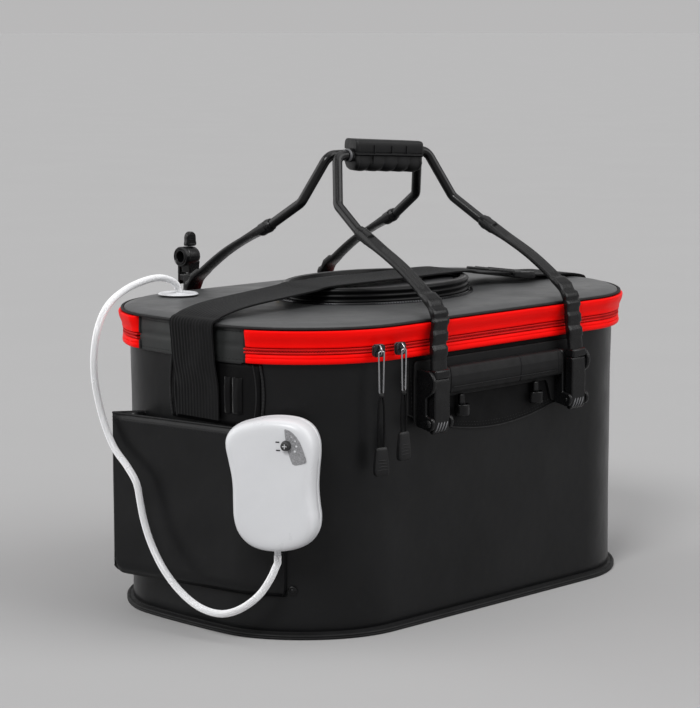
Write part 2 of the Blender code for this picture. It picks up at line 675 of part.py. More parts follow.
def build_bracket(side, sign):
    """Patch, bracket and hinge pins on one long wall. Sign is -1 on the front."""
    face = WIDTH / 2 + GAP
    prism(side + "_patch", patch_outline(), "XZ", sign * face, sign * (face + PATCH), BLACK_EVA)
    root = face + PATCH + GAP
    reach = LEG_X + LEG_WIDTH / 2 + EAR_GAP + EAR + 0.003
    top = TAPE_BOTTOM - BAR_DROP
    plate = box(side + "_bracket", (0, sign * (root + PLATE / 2), (top + PIN_Z) / 2 + 0.003),
                (2 * reach, PLATE, top - PIN_Z + 0.010), BLACK_PLASTIC, bevel=0)
    bar_z = top - BAR_HEIGHT / 2
    inner = LEG_X - LEG_WIDTH / 2 - EAR_GAP - EAR
    bar = box(side + "_bar_guide", (0, sign * (root + PLATE + BAR_PROUD / 2 - 0.001), bar_z),
              (2 * inner + 0.002, BAR_PROUD, BAR_HEIGHT), BLACK_PLASTIC, bevel=0.0025)
    boolean(plate, bar, "UNION")
    for x in (-1, 1):
        for place in (inner, LEG_X + LEG_WIDTH / 2 + EAR_GAP):
            low, high = sorted((x * place, x * (place + EAR)))
            ear = prism("%s_ear_guide_%d_%d" % (side, x, place * 1000), ear_outline(sign), "YZ",
                        low, high, BLACK_PLASTIC)
            boolean(plate, ear, "UNION")
        hook = box("%s_hook_guide_%d" % (side, x),
                   (x * (inner - 0.016), sign * (root + PLATE + 0.004), bar_z - 0.027),
                   (0.012, 0.010, 0.007), BLACK_PLASTIC, bevel=0.001)
        boolean(plate, hook, "UNION")
        drill = cylinder("%s_drill_guide_%d" % (side, x), (x * (inner - 0.002), sign * PIN_Y, PIN_Z),
                         (x * (reach + 0.004), sign * PIN_Y, PIN_Z), PIN_BORE, BLACK_PLASTIC)
        boolean(plate, drill, "DIFFERENCE")
        outside = LEG_X + LEG_WIDTH / 2 + EAR_GAP + EAR + GAP
        pin_turned("%s_pin_%s" % (side, "left" if x < 0 else "right"), x, sign, inner - 0.001,
                   outside)


def pin_turned(name, x, sign, start, end):
    """A headed hinge pin through a leg and its two ears."""
    segments = 14
    turn = 2 * math.pi / segments

    def ring(place, r):
        return [(x * place, sign * PIN_Y + r * math.cos(i * turn), PIN_Z + r * math.sin(i * turn))
                for i in range(segments)]
    loft(name, [ring(start, PIN_RADIUS), ring(end, PIN_RADIUS), ring(end, PIN_HEAD),
                ring(end + 0.0012, PIN_HEAD), ring(end + 0.0018, PIN_HEAD - 0.001)], STEEL)


def leg_path(x, sign):
    """A leg from its clip's top, up past the band and over the lid's edge to the bail's tube."""
    out = WIDTH / 2 + LIP_PROUD + LEG_CLEAR + LEG_THICK / 2
    clip_top = PIN_Z + CLIP_TOP
    points = [(LEG_X, PIN_Y, clip_top - 0.004), (LEG_X - 0.0005, out + 0.002, clip_top + 0.008),
              (LEG_X - 0.002, out, BAND_BOTTOM), (RIM_X, out, LID_EDGE - 0.001),
              (RIM_X - 0.0005, out - 0.005, LID_EDGE + RIM_CLEAR),
              (RIM_X - 0.001, out - 0.016, LID_EDGE + RIM_CLEAR + 0.0095),
              ((RIM_X + SLEEVE_X) / 2, (out + SLEEVE_Y) / 2, (LID_EDGE + BAND_TOP + SLEEVE_Z) / 2 + 0.0095),
              (SLEEVE_X, SLEEVE_Y, BAND_TOP + SLEEVE_Z)]
    return smooth_path([(x * px, sign * py, pz) for px, py, pz in points], 0.0052)


def build_leg(side, sign, x):
    """A moulded leg: clip on the hinge pin, ribbed flexing strap, socket for the bail's tube."""
    name = "%s_leg_%s" % (side, "left" if x < 0 else "right")
    axis = (x * LEG_X, sign * PIN_Y, PIN_Z)
    path = leg_path(x, sign)
    count = len(path) - 1

    def ribs(t):
        over = 0.18 < t < 0.52
        return LEG_THICK / 2 + (WAVE * math.sin(t * count * math.pi / 2) if over else 0.0)
    strap = ribbon(name, path, (x, 0, 0), LEG_WIDTH - 0.001,
                   LEG_THICK / 2 if x * sign > 0 else ribs, ribs if x * sign > 0 else LEG_THICK / 2,
                   BLACK_PLASTIC, origin=axis)
    half = CLIP_THICK / 2
    outline = [(half, CLIP_TOP - 0.002), (half - 0.002, CLIP_TOP), (-half + 0.001, CLIP_TOP),
               (-half, CLIP_TOP - 0.002)]
    steps = 8
    for k in range(steps + 1):
        a = math.pi + math.pi * k / steps
        outline.append((half * math.cos(a), (PIN_BOSS - 0.001) * math.sin(a)))
    outline = [(sign * (PIN_Y + y), PIN_Z + z) for y, z in outline]
    low, high = x * LEG_X - LEG_WIDTH / 2, x * LEG_X + LEG_WIDTH / 2
    clip = prism(name + "_clip_guide", outline, "YZ", low, high, BLACK_PLASTIC)
    boolean(strap, clip, "UNION")
    drill = cylinder(name + "_drill_guide", (low - 0.01, sign * PIN_Y, PIN_Z),
                     (high + 0.01, sign * PIN_Y, PIN_Z), PIN_BORE, BLACK_PLASTIC)
    boolean(strap, drill, "DIFFERENCE")


def build_bail(side, sign):
    """One steel bail and its two legs."""
    axis = (0, sign * PIN_Y, PIN_Z)
    bar_y = sign * (TUBE_RADIUS + BAR_GAP / 2)
    ends = leg_path(1, sign)
    top = ends[-1]
    away = (ends[-1] - ends[-2]).normalized()
    half = [top + away * GAP, top + away * TUBE_START,
            Vector((KNEE_X, sign * KNEE_Y, BAND_TOP + KNEE_Z)),
            Vector((SHOULDER_X, bar_y, BAND_TOP + BAR_Z))]
    mirrored = [Vector((-p.x, p.y, p.z)) for p in half]
    path = rounded_path(half + mirrored[::-1], BEND_RADIUS)
    tube(side + "_bail", path, TUBE_RADIUS, BLACK_STEEL, origin=axis)
    for x in (-1, 1):
        build_leg(side, sign, x)


def build_grip():
    """The grip: a moulded sleeve fixed on the front bail and open towards the back one."""
    bar_z = BAND_TOP + BAR_Z
    reach = 2 * TUBE_RADIUS + BAR_GAP / 2
    room = TUBE_RADIUS + 0.0006
    outer = reach + GRIP_WALL
    stations_x = 24
    loops = []
    for k in range(stations_x + 1):
        x = -GRIP_HALF + 2 * GRIP_HALF * k / stations_x
        wave = math.sin(math.pi * GRIP_FINGERS * k / stations_x) ** 2
        taper = 0.0015 if k in (0, stations_x) else 0.0
        low = bar_z - TUBE_RADIUS - GRIP_BELLY + FINGER_DEPTH * (1 - wave) + taper
        high = bar_z + TUBE_RADIUS + GRIP_TOP - taper
        section = [(outer, bar_z + room), (outer, high - 0.004), (outer - 0.004, high),
                   (-outer + 0.004, high), (-outer + taper, high - 0.004),
                   (-outer + taper, bar_z - 0.006), (-outer + 0.006, low), (outer - 0.006, low),
                   (outer, bar_z - TUBE_RADIUS - 0.005), (outer, bar_z - room),
                   (-reach - 0.0006, bar_z - room), (-reach - 0.0006, bar_z + room)]
        loops.append([(x, y, z) for y, z in section])
    loft("grip", loops, BLACK_RUBBER, origin=(0, -PIN_Y, PIN_Z))


def strap_profile():
    """The shoulder strap's middle line over the lid, from the left rim to the right one."""
    left = HINGE_X + 0.0015
    right = LENGTH / 2 + END_BULGE + 0.004
    over = COLLAR_TOP + GAP + STRAP / 2
    return [(left, LID_EDGE + 0.004), (left + 0.012, LID_FLAT + 0.0045),
            (left + 0.045, LID_FLAT + 0.010), (HATCH_X - HATCH_A - 0.016, over - 0.002),
            (HATCH_X - HATCH_A + 0.010, over + 0.0006), (HATCH_X, over + 0.0006),
            (HATCH_X + HATCH_A - 0.012, over + 0.0006), (HATCH_X + HATCH_A + 0.014, over - 0.003),
            (ADJUSTER_X - 0.024, over - 0.0068), (ADJUSTER_X + 0.024, over - 0.0122),
            (right - 0.018, LID_FLAT + 0.0034), (right, LID_EDGE + 0.0045)]


def build_strap():
    """The shoulder strap, lying over the lid, with its ends on the two end walls."""
    hinge = (HINGE_X, 0, HINGE_Z)
    line = [(x, STRAP_Y, z) for x, z in strap_profile()]
    path = smooth_path(line, 0.014)
    ribbon("shoulder_strap", path, (0, 1, 0), STRAP_WIDTH, STRAP / 2, STRAP / 2, WEBBING,
           origin=hinge)
    first = path[0]
    wall = -(LENGTH / 2 + END_BULGE)
    clear = PANEL_PROUD + 2 * PIPING_RADIUS + STRAP / 2 + 3 * GAP
    left = [first + (first - path[1]).normalized() * GAP,
            (wall - clear + 0.0010, STRAP_Y, LID_EDGE + 0.0022),
            (wall - clear - 0.0014, STRAP_Y, BAND_TOP), (wall - clear, STRAP_Y, BAND_BOTTOM),
            (wall - 0.0090, STRAP_Y, TAPE_BOTTOM - 0.004), (wall - 0.0050, STRAP_Y, DROP_Z),
            (wall - 0.0042, STRAP_Y, ANCHOR_BOTTOM + 0.004)]
    ribbon("strap_left_drop", smooth_path(left, 0.0065), (0, 1, 0), STRAP_WIDTH, STRAP / 2,
           STRAP / 2, WEBBING)
    last = path[-1]
    clear = LIP_PROUD + STRAP / 2 + 4 * GAP
    right = [last + (last - path[-2]).normalized() * GAP,
             (-wall + clear - 0.0015, STRAP_Y, LID_EDGE + 0.0018),
             (-wall + clear + 0.0008, STRAP_Y, BAND_TOP - 0.002),
             (-wall + clear, STRAP_Y, BAND_BOTTOM),
             (-wall + FREE_DROP_OUT + STRAP / 4, STRAP_Y, FREE_DROP_Z),
             (-wall + FREE_DROP_OUT, STRAP_Y, FREE_DROP_END)]
    ribbon("strap_right_drop", smooth_path(right, 0.0065), (0, 1, 0), STRAP_WIDTH, STRAP / 2,
           STRAP / 2, WEBBING, origin=hinge)
    box("strap_hook", (-wall + FREE_DROP_OUT, STRAP_Y, HOOK_Z), HOOK, BLACK_PLASTIC, origin=hinge)
    for name, centre, end in (("strap_left_anchor", 0.0, -1), ("strap_right_anchor", PERIMETER / 2, 1)):
        shift = -STRAP_Y * end
        marks = [centre + shift + ANCHOR_HALF * k / 4 for k in range(-4, 5)]
        loops = [[(*edge(s, out), z) for out, z in
                  ((GAP, ANCHOR_BOTTOM), (GAP + ANCHOR, ANCHOR_BOTTOM), (GAP + ANCHOR, ANCHOR_TOP),
                   (GAP, ANCHOR_TOP))] for s in marks]
        loft(name, loops, BLACK_EVA)
    low, high = STRAP_Y - RING_HALF, STRAP_Y + RING_HALF
    corners = [(low, RING_BOTTOM), (high, RING_BOTTOM), (high, RING_TOP), (low, RING_TOP),
               (low, RING_BOTTOM + RING_WIRE + 0.0011)]
    ring = rounded_path([(-wall + RING_OUT, y, z) for y, z in corners], 0.005, 3)
    tube("strap_ring", ring, RING_WIRE, BLACK_PLASTIC, resolution=1)


def strap_height(x):
    """Middle line of the strap beside the adjuster, where it runs straight."""
    line = strap_profile()
    (x0, z0), (x1, z1) = line[8], line[9]
    return z0 + (z1 - z0) * (x - x0) / (x1 - x0)


def build_adjuster():
    """A sliding frame round the strap, right of the hatch."""
    z = strap_height(ADJUSTER_X)
    slope = (strap_height(ADJUSTER_X + 0.01) - z) / 0.01
    along = Vector((1, 0, slope)).normalized()
    up = Vector((-slope, 0, 1)).normalized()
    room = STRAP / 2 + 0.0009
    half_in = STRAP_WIDTH / 2 + 0.0012
    centre = Vector((ADJUSTER_X, STRAP_Y, z))
    loops = []
    for place in (-ADJUSTER_LENGTH / 2, ADJUSTER_LENGTH / 2):
        for h, w in ((room + 0.0016, half_in + ADJUSTER_WALL), (room, half_in)):
            loop = [centre + along * place + Vector((0, sy * w, 0)) + up * (sz * h)
                    for sy, sz in ((-1, -1), (1, -1), (1, 1), (-1, 1))]
            loops.append(loop)
    order = [loops[0], loops[2], loops[3], loops[1]]
    loft("strap_adjuster", order, BLACK_PLASTIC, closed=True, origin=centre, smooth=False)


def build_rod_holder():
    """A rod rest clamped on the back left leg: clamp and post, tilting socket, locking lever."""
    axis = (0, PIN_Y, PIN_Z)
    out = WIDTH / 2 + LIP_PROUD + LEG_CLEAR + LEG_THICK + WAVE + GAP
    cx, cy, cz = ROD_CLAMP
    y = out + cy / 2
    clamp = box("rod_clamp", (ROD_X, y, ROD_CLAMP_Z + cz / 2), ROD_CLAMP, BLACK_PLASTIC,
                bevel=0.0015, origin=axis)
    px, py = ROD_POST
    low = ROD_CLAMP_Z + cz - 0.004
    post = box("rod_post_guide", (ROD_X, y, (low + ROD_POST_TOP) / 2), (px, py, ROD_POST_TOP - low),
               BLACK_PLASTIC, bevel=0.001)
    boolean(clamp, post, "UNION")
    ear_y = y + SOCKET_RADIUS + 0.001
    ear_top, ear_low = SOCKET_Z + ROD_EAR_OVER, ROD_POST_TOP - ROD_EAR_UNDER
    ear_x, ear_thick = ROD_EAR
    ear = box("rod_ear_guide", (ROD_X, ear_y + ear_thick / 2, (ear_top + ear_low) / 2),
              (ear_x, ear_thick, ear_top - ear_low), BLACK_PLASTIC, bevel=0.0008)
    boolean(clamp, ear, "UNION")
    foot = box("rod_foot_guide", (ROD_X, y + ROD_FOOT[1] / 4, ROD_POST_TOP - ROD_FOOT_DROP),
               ROD_FOOT, BLACK_PLASTIC, bevel=0.0008)
    boolean(clamp, foot, "UNION")
    centre = (ROD_X, y, SOCKET_Z)
    cup = cylinder("rod_socket", (ROD_X - SOCKET_HALF - 0.002, y, SOCKET_Z),
                   (ROD_X + SOCKET_HALF - 0.002, y, SOCKET_Z), SOCKET_RADIUS, BLACK_PLASTIC,
                   segments=20, origin=centre)
    drill = cylinder("rod_bore_guide", (ROD_X - SOCKET_HALF - 0.01, y, SOCKET_Z),
                     (ROD_X + SOCKET_HALF - 0.007, y, SOCKET_Z), SOCKET_BORE, BLACK_PLASTIC)
    boolean(cup, drill, "DIFFERENCE")
    bolt_y = ear_y + ear_thick + GAP
    cylinder("rod_bolt", (ROD_X, bolt_y, SOCKET_Z), (ROD_X, bolt_y + 0.0032, SOCKET_Z), ROD_BOLT,
             STEEL, segments=12)
    lx, ly, lz = LEVER
    foot_z = SOCKET_Z + SOCKET_RADIUS + GAP
    outline = [(-lx / 2, 0), (lx / 2, 0)]
    for k in range(9):
        a = math.pi * k / 8
        outline.append((lx / 2 * math.cos(a), lz - lx / 2 + lx / 2 * math.sin(a)))
    outline = [(ROD_X + u, foot_z + v) for u, v in outline]
    prism("rod_lever", outline, "XZ", y - ly / 2, y + ly / 2, BLACK_PLASTIC,
          origin=(ROD_X + lx / 2, y, foot_z))


def build_pocket():
    """The EVA pouch on the left end, open at the top."""
    def plan(sheet):
        """The pouch's outline, drawn in by a sheet's thickness."""
        far = (-LENGTH / 2 + POCKET_FAR[0] + sheet, POCKET_FAR[1] - 1.4 * sheet)
        front = stations(POCKET_NEAR_S, POCKET_END_S - sheet, arc_steps=16)
        back = stations(POCKET_FAR_S + sheet, POCKET_END_S - sheet, arc_steps=16)[::-1]
        points = [far] + [tuple(edge(s, POCKET_PROUD - sheet)) for s in front]
        return points + [tuple(edge(s, 0.0004 + sheet * 0.8)) for s in back]
    outer, inner = plan(0.0), plan(POCKET_SHEET)

    def level(points, z):
        return [(x, y, z) for x, y in points]
    floor = POCKET_BOTTOM + POCKET_SHEET
    loft("pocket", [level(outer, POCKET_BOTTOM), level(outer, POCKET_TOP),
                    level(inner, POCKET_TOP), level(inner, floor)], BLACK_EVA, smooth=False)
    s = POCKET_END_S + SNAP_RADIUS + 0.002
    root = edge(s, GAP)
    normal = edge_normal(s)
    base = Vector((root.x, root.y, POCKET_BOTTOM + SNAP_RADIUS + 0.001)) + normal * 0.0004
    cylinder("pocket_snap", base, base + normal * 0.003, SNAP_RADIUS, BLACK_PLASTIC, segments=12)


def pump_frame():
    """Centre of the pump's seam, its outward normal and its face's sideways direction."""
    normal = edge_normal(PUMP_S)
    side = Vector((-normal.y, normal.x, 0))
    foot = edge(PUMP_S)
    centre = Vector((foot.x, foot.y, PUMP_Z)) + normal * PUMP_OFF + side * PUMP_ASIDE
    return centre, normal, side


def nozzle_tip():
    """The lower end of the air outlet, under the pump's back shell."""
    centre, normal, _ = pump_frame()
    return centre - Vector((0, 0, PUMP_B - 0.001 + NOZZLE_LENGTH)) - normal * NOZZLE_IN


def pump_loop(inset, depth):
    """The pump's mouse-shaped outline, drawn in by inset, at a depth from its seam."""
    centre, normal, side = pump_frame()
    loop = []
    for k in range(PUMP_SEGMENTS):
        a = 2 * math.pi * (k + 0.5) / PUMP_SEGMENTS
        c, s = math.cos(a), math.sin(a)
        u = math.copysign(abs(c) ** PUMP_SQUARE, c) * (PUMP_A - inset)
        v = math.copysign(abs(s) ** PUMP_SQUARE, s) * (PUMP_B - inset)
        waist = 1 - PUMP_WAIST * math.cos(math.pi * min(1.0, abs(v + 0.008) / PUMP_B) / 2) ** 2
        loop.append(centre + side * (u * waist) + Vector((0, 0, v)) + normal * depth)
    return loop


def build_pump():
    centre, normal, side = pump_frame()
    up = Vector((0, 0, 1))
    seam = GAP / 2
    w = PUMP_WALL
    f = PUMP_FRONT
    loft("pump_front_shell",
         [pump_loop(0.020, f), pump_loop(0.010, f * 0.94), pump_loop(0.004, f * 0.74),
          pump_loop(0.0008, f * 0.40), pump_loop(0, seam), pump_loop(w, seam),
          pump_loop(0.0008 + w, f * 0.38), pump_loop(0.004 + w, f * 0.64),
          pump_loop(0.020, f - w)], WHITE_PLASTIC)
    b = -PUMP_BACK
    back = loft("pump_back_shell",
                [pump_loop(0.014, b), pump_loop(0.006, b * 0.93), pump_loop(0.0012, b * 0.6),
                 pump_loop(0, -seam), pump_loop(w, -seam), pump_loop(0.0012 + w, b * 0.55),
                 pump_loop(0.006 + w, b + w)], WHITE_PLASTIC)
    tip = nozzle_tip()
    nozzle = cylinder("nozzle_guide", tip + up * (NOZZLE_LENGTH + 0.002), tip, NOZZLE_RADIUS,
                      WHITE_PLASTIC, segments=12)
    boolean(back, nozzle, "UNION")
    spot = centre + side * KNOB_AT[0] + up * KNOB_AT[1] + normal * (PUMP_FRONT + GAP)
    cylinder("pump_knob", spot, spot + normal * KNOB_HEIGHT, KNOB_RADIUS, GREY_PLASTIC,
             segments=20, origin=spot)
    low = centre + up * 0.012
    cylinder("pump_motor", low, low + up * MOTOR_LENGTH, MOTOR_RADIUS, GREY_PLASTIC, segments=16)
    turn = math.atan2(side.y, side.x)
    box("battery_pack", centre - up * 0.024, (4 * CELL_RADIUS + 0.001, 2 * CELL_RADIUS, CELL_LENGTH),
        GREY_PLASTIC, bevel=0.004, turn=turn)
    build_pump_clip()


def build_pump_clip():
    """A spring clip behind the pump, over the pocket's top edge."""
    normal = edge_normal(PUMP_S)
    side = Vector((-normal.y, normal.x, 0))
    foot = edge(PUMP_S)
    hook = POCKET_TOP + 0.0006
    tail = hook - CLIP_TAIL
    middle = (0.0004 + POCKET_PROUD) / 2
    inner_leg = (middle - CLIP_SHEET / 2, middle + CLIP_SHEET / 2)
    outer_leg = (POCKET_PROUD + 0.0007, POCKET_PROUD + 0.0007 + CLIP_SHEET)
    section = [(outer_leg[1], tail), (outer_leg[1], hook + 0.0016), (inner_leg[0], hook + 0.0016),
               (inner_leg[0], tail), (inner_leg[1], tail), (inner_leg[1], hook),
               (outer_leg[0], hook), (outer_leg[0], tail)]
    loops = []
    for place in (-CLIP_WIDTH / 2, CLIP_WIDTH / 2):
        flat = Vector((foot.x, foot.y, 0)) + side * place
        loops.append([flat + normal * n + Vector((0, 0, z)) for n, z in section])
    loft("pump_clip", loops, STEEL, smooth=False)


def routed(points):
    """Route points, moved with the tub's left end and its side walls."""
    shift = (LENGTH - ROUTE_LENGTH) / 2
    return [Vector((x - shift, y * WIDTH / ROUTE_WIDTH, z)) for x, y, z in points]


def hose_path(start, leaves, route, end, arrives):
    """A hose through its route's points, straight and square where it leaves and arrives."""
    first, last = start + leaves * HOSE_RUN, end - arrives * HOSE_RUN
    return [start] + smooth_path([first, *route, last], HOSE_STEP) + [end]


def build_hose():
    """The air hose from the pump to the lid's grommet, and the one inside with its stone."""
    hinge = (HINGE_X, 0, HINGE_Z)
    segments = 24
    turn = 2 * math.pi / segments

    def ring(r, z):
        return [(GROMMET_X + r * math.cos(i * turn), GROMMET_Y + r * math.sin(i * turn), z)
                for i in range(segments)]
    base = LID_TOP + 0.0002
    loft("grommet", [ring(GROMMET_BORE, base - 0.008), ring(GROMMET_SLEEVE, base - 0.008),
                     ring(GROMMET_SLEEVE, base), ring(GROMMET_FLANGE, base),
                     ring(GROMMET_FLANGE, base + 0.001), ring(GROMMET_FLANGE - 0.002, base + 0.002),
                     ring(GROMMET_BORE, base + 0.002)], WHITE_PLASTIC, closed=True, origin=hinge)
    up = Vector((0, 0, 1))
    joint = Vector((GROMMET_X, GROMMET_Y, LID_FLAT))
    outlet = nozzle_tip() - up * GAP
    tube("air_hose", hose_path(joint, up, routed(HOSE_ROUTE), outlet, up), HOSE_RADIUS, HOSE_PVC)
    inner = routed(INNER_ROUTE)
    end = inner[-1]
    along = (end - inner[-2]).normalized()
    stone = end + along * HOSE_RUN
    tube("inner_hose", hose_path(joint - up * GAP, -up, inner[:-1], stone, along),
         HOSE_RADIUS, HOSE_PVC)
    cylinder("air_stone", stone + along * GAP, stone + along * STONE_LENGTH, STONE_RADIUS, STONE)


def build_slider(index, at, normal, drop):
    """One zip slider with its wire pull and the rubber tab on its cord."""
    normal = Vector(normal).normalized()
    side = Vector((-normal.y, normal.x, 0))
    turn = math.atan2(side.y, side.x)
    sx, sy, sz = SLIDER
    mid = Vector((at.x, at.y, ZIP_SPLIT)) + normal * (sy / 2)
    body = box("zip_slider_%d" % index, mid, SLIDER, GUNMETAL, bevel=0.0012, origin=mid, turn=turn)
    hang = mid + normal * (sy / 2 + 0.0010 + PULL_RADIUS)
    top = hang - Vector((0, 0, 0.001))
    low = hang - Vector((0, 0, PULL_LENGTH))
    wire = rounded_path([top - side * PULL_HALF, low - side * PULL_HALF * 0.7,
                         low + side * PULL_HALF * 0.7, top + side * PULL_HALF,
                         top - side * (PULL_HALF - 0.0019)], 0.0016, 3)
    tube("zip_pull_%d" % index, wire, PULL_RADIUS, STEEL, resolution=1, origin=hang)
    start = low - Vector((0, 0, PULL_RADIUS + CORD_RADIUS + GAP))
    end = hang - Vector((0, 0, drop))
    tab_mid = end + Vector((0, 0, TAB[2] / 2))
    tab = box("zip_tab_%d" % index, tab_mid, TAB, BLACK_RUBBER, bevel=0.0022, origin=hang, turn=turn)
    cord = cylinder("zip_cord_guide_%d" % index, start, tab_mid, CORD_RADIUS, BLACK_RUBBER,
                    segments=8)
    boolean(tab, cord, "UNION")
    return body


def build_sliders():
    out = LIP_PROUD + SLIDER_CLEAR
    radius = CORNER_RADIUS + out
    direction = Vector((math.cos(SLIDER_1_ANGLE), math.sin(SLIDER_1_ANGLE), 0))
    first = Vector((-STRAIGHT_X, -STRAIGHT_Y, 0)) + direction * radius
    build_slider(1, first, direction, PULL_1_DROP)
    second = Vector((-STRAIGHT_X - SLIDER_2_PAST, -(WIDTH / 2 + out), 0))
    build_slider(2, second, (0, -1, 0), PULL_2_DROP)


def build_all():
    clear_scene()
    build_tub()
    build_zip()
    build_lid()
    for side, sign in (("front", -1), ("back", 1)):
        build_bracket(side, sign)
        build_bail(side, sign)
    build_grip()
    build_strap()
    build_adjuster()
    build_rod_holder()
    build_pocket()
    build_pump()
    build_hose()
    build_sliders()


build_all()
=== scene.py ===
"""Looks of the folding fishing bucket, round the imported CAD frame, in metres; mm() takes millimetres."""
import json
import math

import bmesh
import bpy
from mathutils import Matrix, Vector, noise


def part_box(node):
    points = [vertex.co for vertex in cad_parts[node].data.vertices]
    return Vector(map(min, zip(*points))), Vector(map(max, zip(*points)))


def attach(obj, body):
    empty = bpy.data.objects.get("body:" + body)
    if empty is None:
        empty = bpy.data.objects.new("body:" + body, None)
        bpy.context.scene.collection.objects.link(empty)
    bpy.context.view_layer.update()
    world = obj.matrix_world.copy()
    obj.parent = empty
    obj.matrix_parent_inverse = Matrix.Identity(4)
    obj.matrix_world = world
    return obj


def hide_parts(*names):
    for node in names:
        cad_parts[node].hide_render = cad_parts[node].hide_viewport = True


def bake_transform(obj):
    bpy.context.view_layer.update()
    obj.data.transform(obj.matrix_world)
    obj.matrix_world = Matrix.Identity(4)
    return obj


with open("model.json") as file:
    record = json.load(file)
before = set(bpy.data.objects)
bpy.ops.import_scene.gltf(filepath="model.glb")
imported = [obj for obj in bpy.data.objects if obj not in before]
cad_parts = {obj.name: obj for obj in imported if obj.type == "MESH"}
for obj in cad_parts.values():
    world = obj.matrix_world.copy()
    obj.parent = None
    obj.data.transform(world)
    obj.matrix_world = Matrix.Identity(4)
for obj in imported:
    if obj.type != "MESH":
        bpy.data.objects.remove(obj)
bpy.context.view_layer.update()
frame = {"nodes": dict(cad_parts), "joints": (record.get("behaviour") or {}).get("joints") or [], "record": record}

# Values that the CAD source has too
GAP = 0.0003
LENGTH = 0.500
WIDTH = 0.318
CORNER_RADIUS = 0.100
END_BULGE = 0.015
WALL = 0.003
TAPE_PROUD = 0.0078
BAND_PROUD = 0.0080
LIP_PROUD = 0.0115
HINGE_HALF = 0.078
HINGE_FAR = 0.066
HINGE_PROUD = 0.0040
PIPING_RADIUS = 0.0015
PANEL = 0.0025
PANEL_PROUD = 0.0060
EDGE_ROUND = 0.014
EDGE_RISE = 0.0035
DOME_RISE = 0.0015
HATCH_X, HATCH_Y = -0.018, -0.014
HATCH_A, HATCH_B = 0.108, 0.077
HATCH_WALL = 0.006
RIDGE = 0.0028
RIDGES = 3
COVER_SUNK = 0.0035
PATCH = 0.0015
PATCH_HALF = 0.128
PATCH_DROP = 0.082
PATCH_RISE = 0.026
PLATE = 0.0025
EAR = 0.004
EAR_GAP = 0.0005
LEG_X = 0.103
LEG_WIDTH = 0.021
LEG_THICK = 0.0045
CLIP_THICK = 0.010
CLIP_TOP = 0.0515
PIN_BOSS = 0.0115
PIN_HEAD = 0.0042
BAR_HEIGHT = 0.0265
BAR_PROUD = 0.0125
BAR_DROP = 0.013
TUBE_RADIUS = 0.005
BEND_RADIUS = 0.012
TUBE_START = 0.007
BAR_Z = 0.1496
BAR_GAP = 0.0024
SHOULDER_X = 0.066
KNEE = (0.085, 0.026, 0.102)
SLEEVE = (0.092, 0.0665, 0.0765)
RIM_X = 0.099
RIM_CLEAR = 0.0105
LEG_CLEAR = 0.0025
WAVE = 0.0011
GRIP_HALF = 0.052
GRIP_WALL = 0.0045
GRIP_TOP = 0.0120
GRIP_BELLY = 0.0105
GRIP_FINGERS = 4
FINGER_DEPTH = 0.0022
GRIP_LEAN = 0.0032
GRIP_SLANT = 0.007
GRIP_SLANT_RUN = 0.040
GRIP_CORE = 0.011
STRAP_WIDTH = 0.060
STRAP_Y = -0.020
STRAP = 0.0020
ANCHOR_HALF = 0.055
ANCHOR_ASIDE = 0.016
ANCHOR_TOP = 0.262
ANCHOR_BOTTOM = 0.2015
ANCHOR = 0.0015
ADJUSTER_X = 0.170
ADJUSTER_LENGTH = 0.034
ADJUSTER_WALL = 0.0035
DROP_Z = 0.236
FREE_DROP_OUT = 0.0110
FREE_DROP_Z = 0.245
FREE_DROP_END = 0.214
RING_OUT = 0.0055
RING_HALF = 0.024
RING_TOP = 0.204
RING_BOTTOM = 0.180
RING_WIRE = 0.0019
ROD_X = -0.093
ROD_CLAMP = (0.022, 0.012, 0.028)
ROD_CLAMP_Z = 0.268
ROD_POST = (0.011, 0.009)
SOCKET_RADIUS = 0.0105
SOCKET_BORE = 0.0058
SOCKET_HALF = 0.0125
SOCKET_SWEEP = 0.0184
SOCKET_Z = 0.3320
POCKET_BOTTOM = 0.041
POCKET_TOP = 0.2005
POCKET_FAR = (-0.040, 0.082)
POCKET_FAR_S = -0.064
POCKET_NEAR_S = 0.062
POCKET_END_S = 0.112
POCKET_PROUD = 0.0065
POCKET_SHEET = 0.0014
POUCH_CORNER = 0.010
SNAP_RADIUS = 0.0045
PUMP_S = 0.0935
PUMP_ASIDE = 0.0195
PUMP_OFF = 0.0262
PUMP_Z = 0.1555
PUMP_A = 0.0445
PUMP_B = 0.0650
PUMP_FRONT = 0.0200
PUMP_BACK = 0.0175
PUMP_WALL = 0.0022
KNOB_RADIUS = 0.0048
KNOB_AT = (0.0168, 0.0390)
CLIP_WIDTH = 0.015
CLIP_SHEET = 0.0010
CLIP_TAIL = 0.026
NOZZLE_RADIUS = 0.0032
NOZZLE_LENGTH = 0.006
NOZZLE_IN = 0.006
HOSE_RADIUS = 0.0035
HOSE_BORE = 0.0021
GROMMET = (-0.165, 0.1235)
GROMMET_FLANGE = 0.0205
GROMMET_BORE = 0.0041
GROMMET_SLEEVE = 0.0065
HOSE_RUN = 0.007
STONE_RADIUS = 0.008
STONE_LENGTH = 0.030
SLIDER_1_ANGLE = math.radians(256.0)
SLIDER_2_PAST = 0.002
SLIDER = (0.0125, 0.0050, 0.0120)
SLIDER_CLEAR = 0.0009
PULL_RADIUS = 0.0009
PULL_LENGTH = 0.040
PULL_HALF = 0.0030
TAB = (0.0135, 0.0060, 0.0290)
PULL_DROPS = (0.118, 0.106)

# Values that differ a little from the CAD source, as the photo shows them
FLANGE_PROUD = 0.0065
LEVER = (0.0128, 0.0035, 0.0150)

# Thread stitches: pitch, length and half thickness
STITCH = (0.0042, 0.0027, 0.00042)


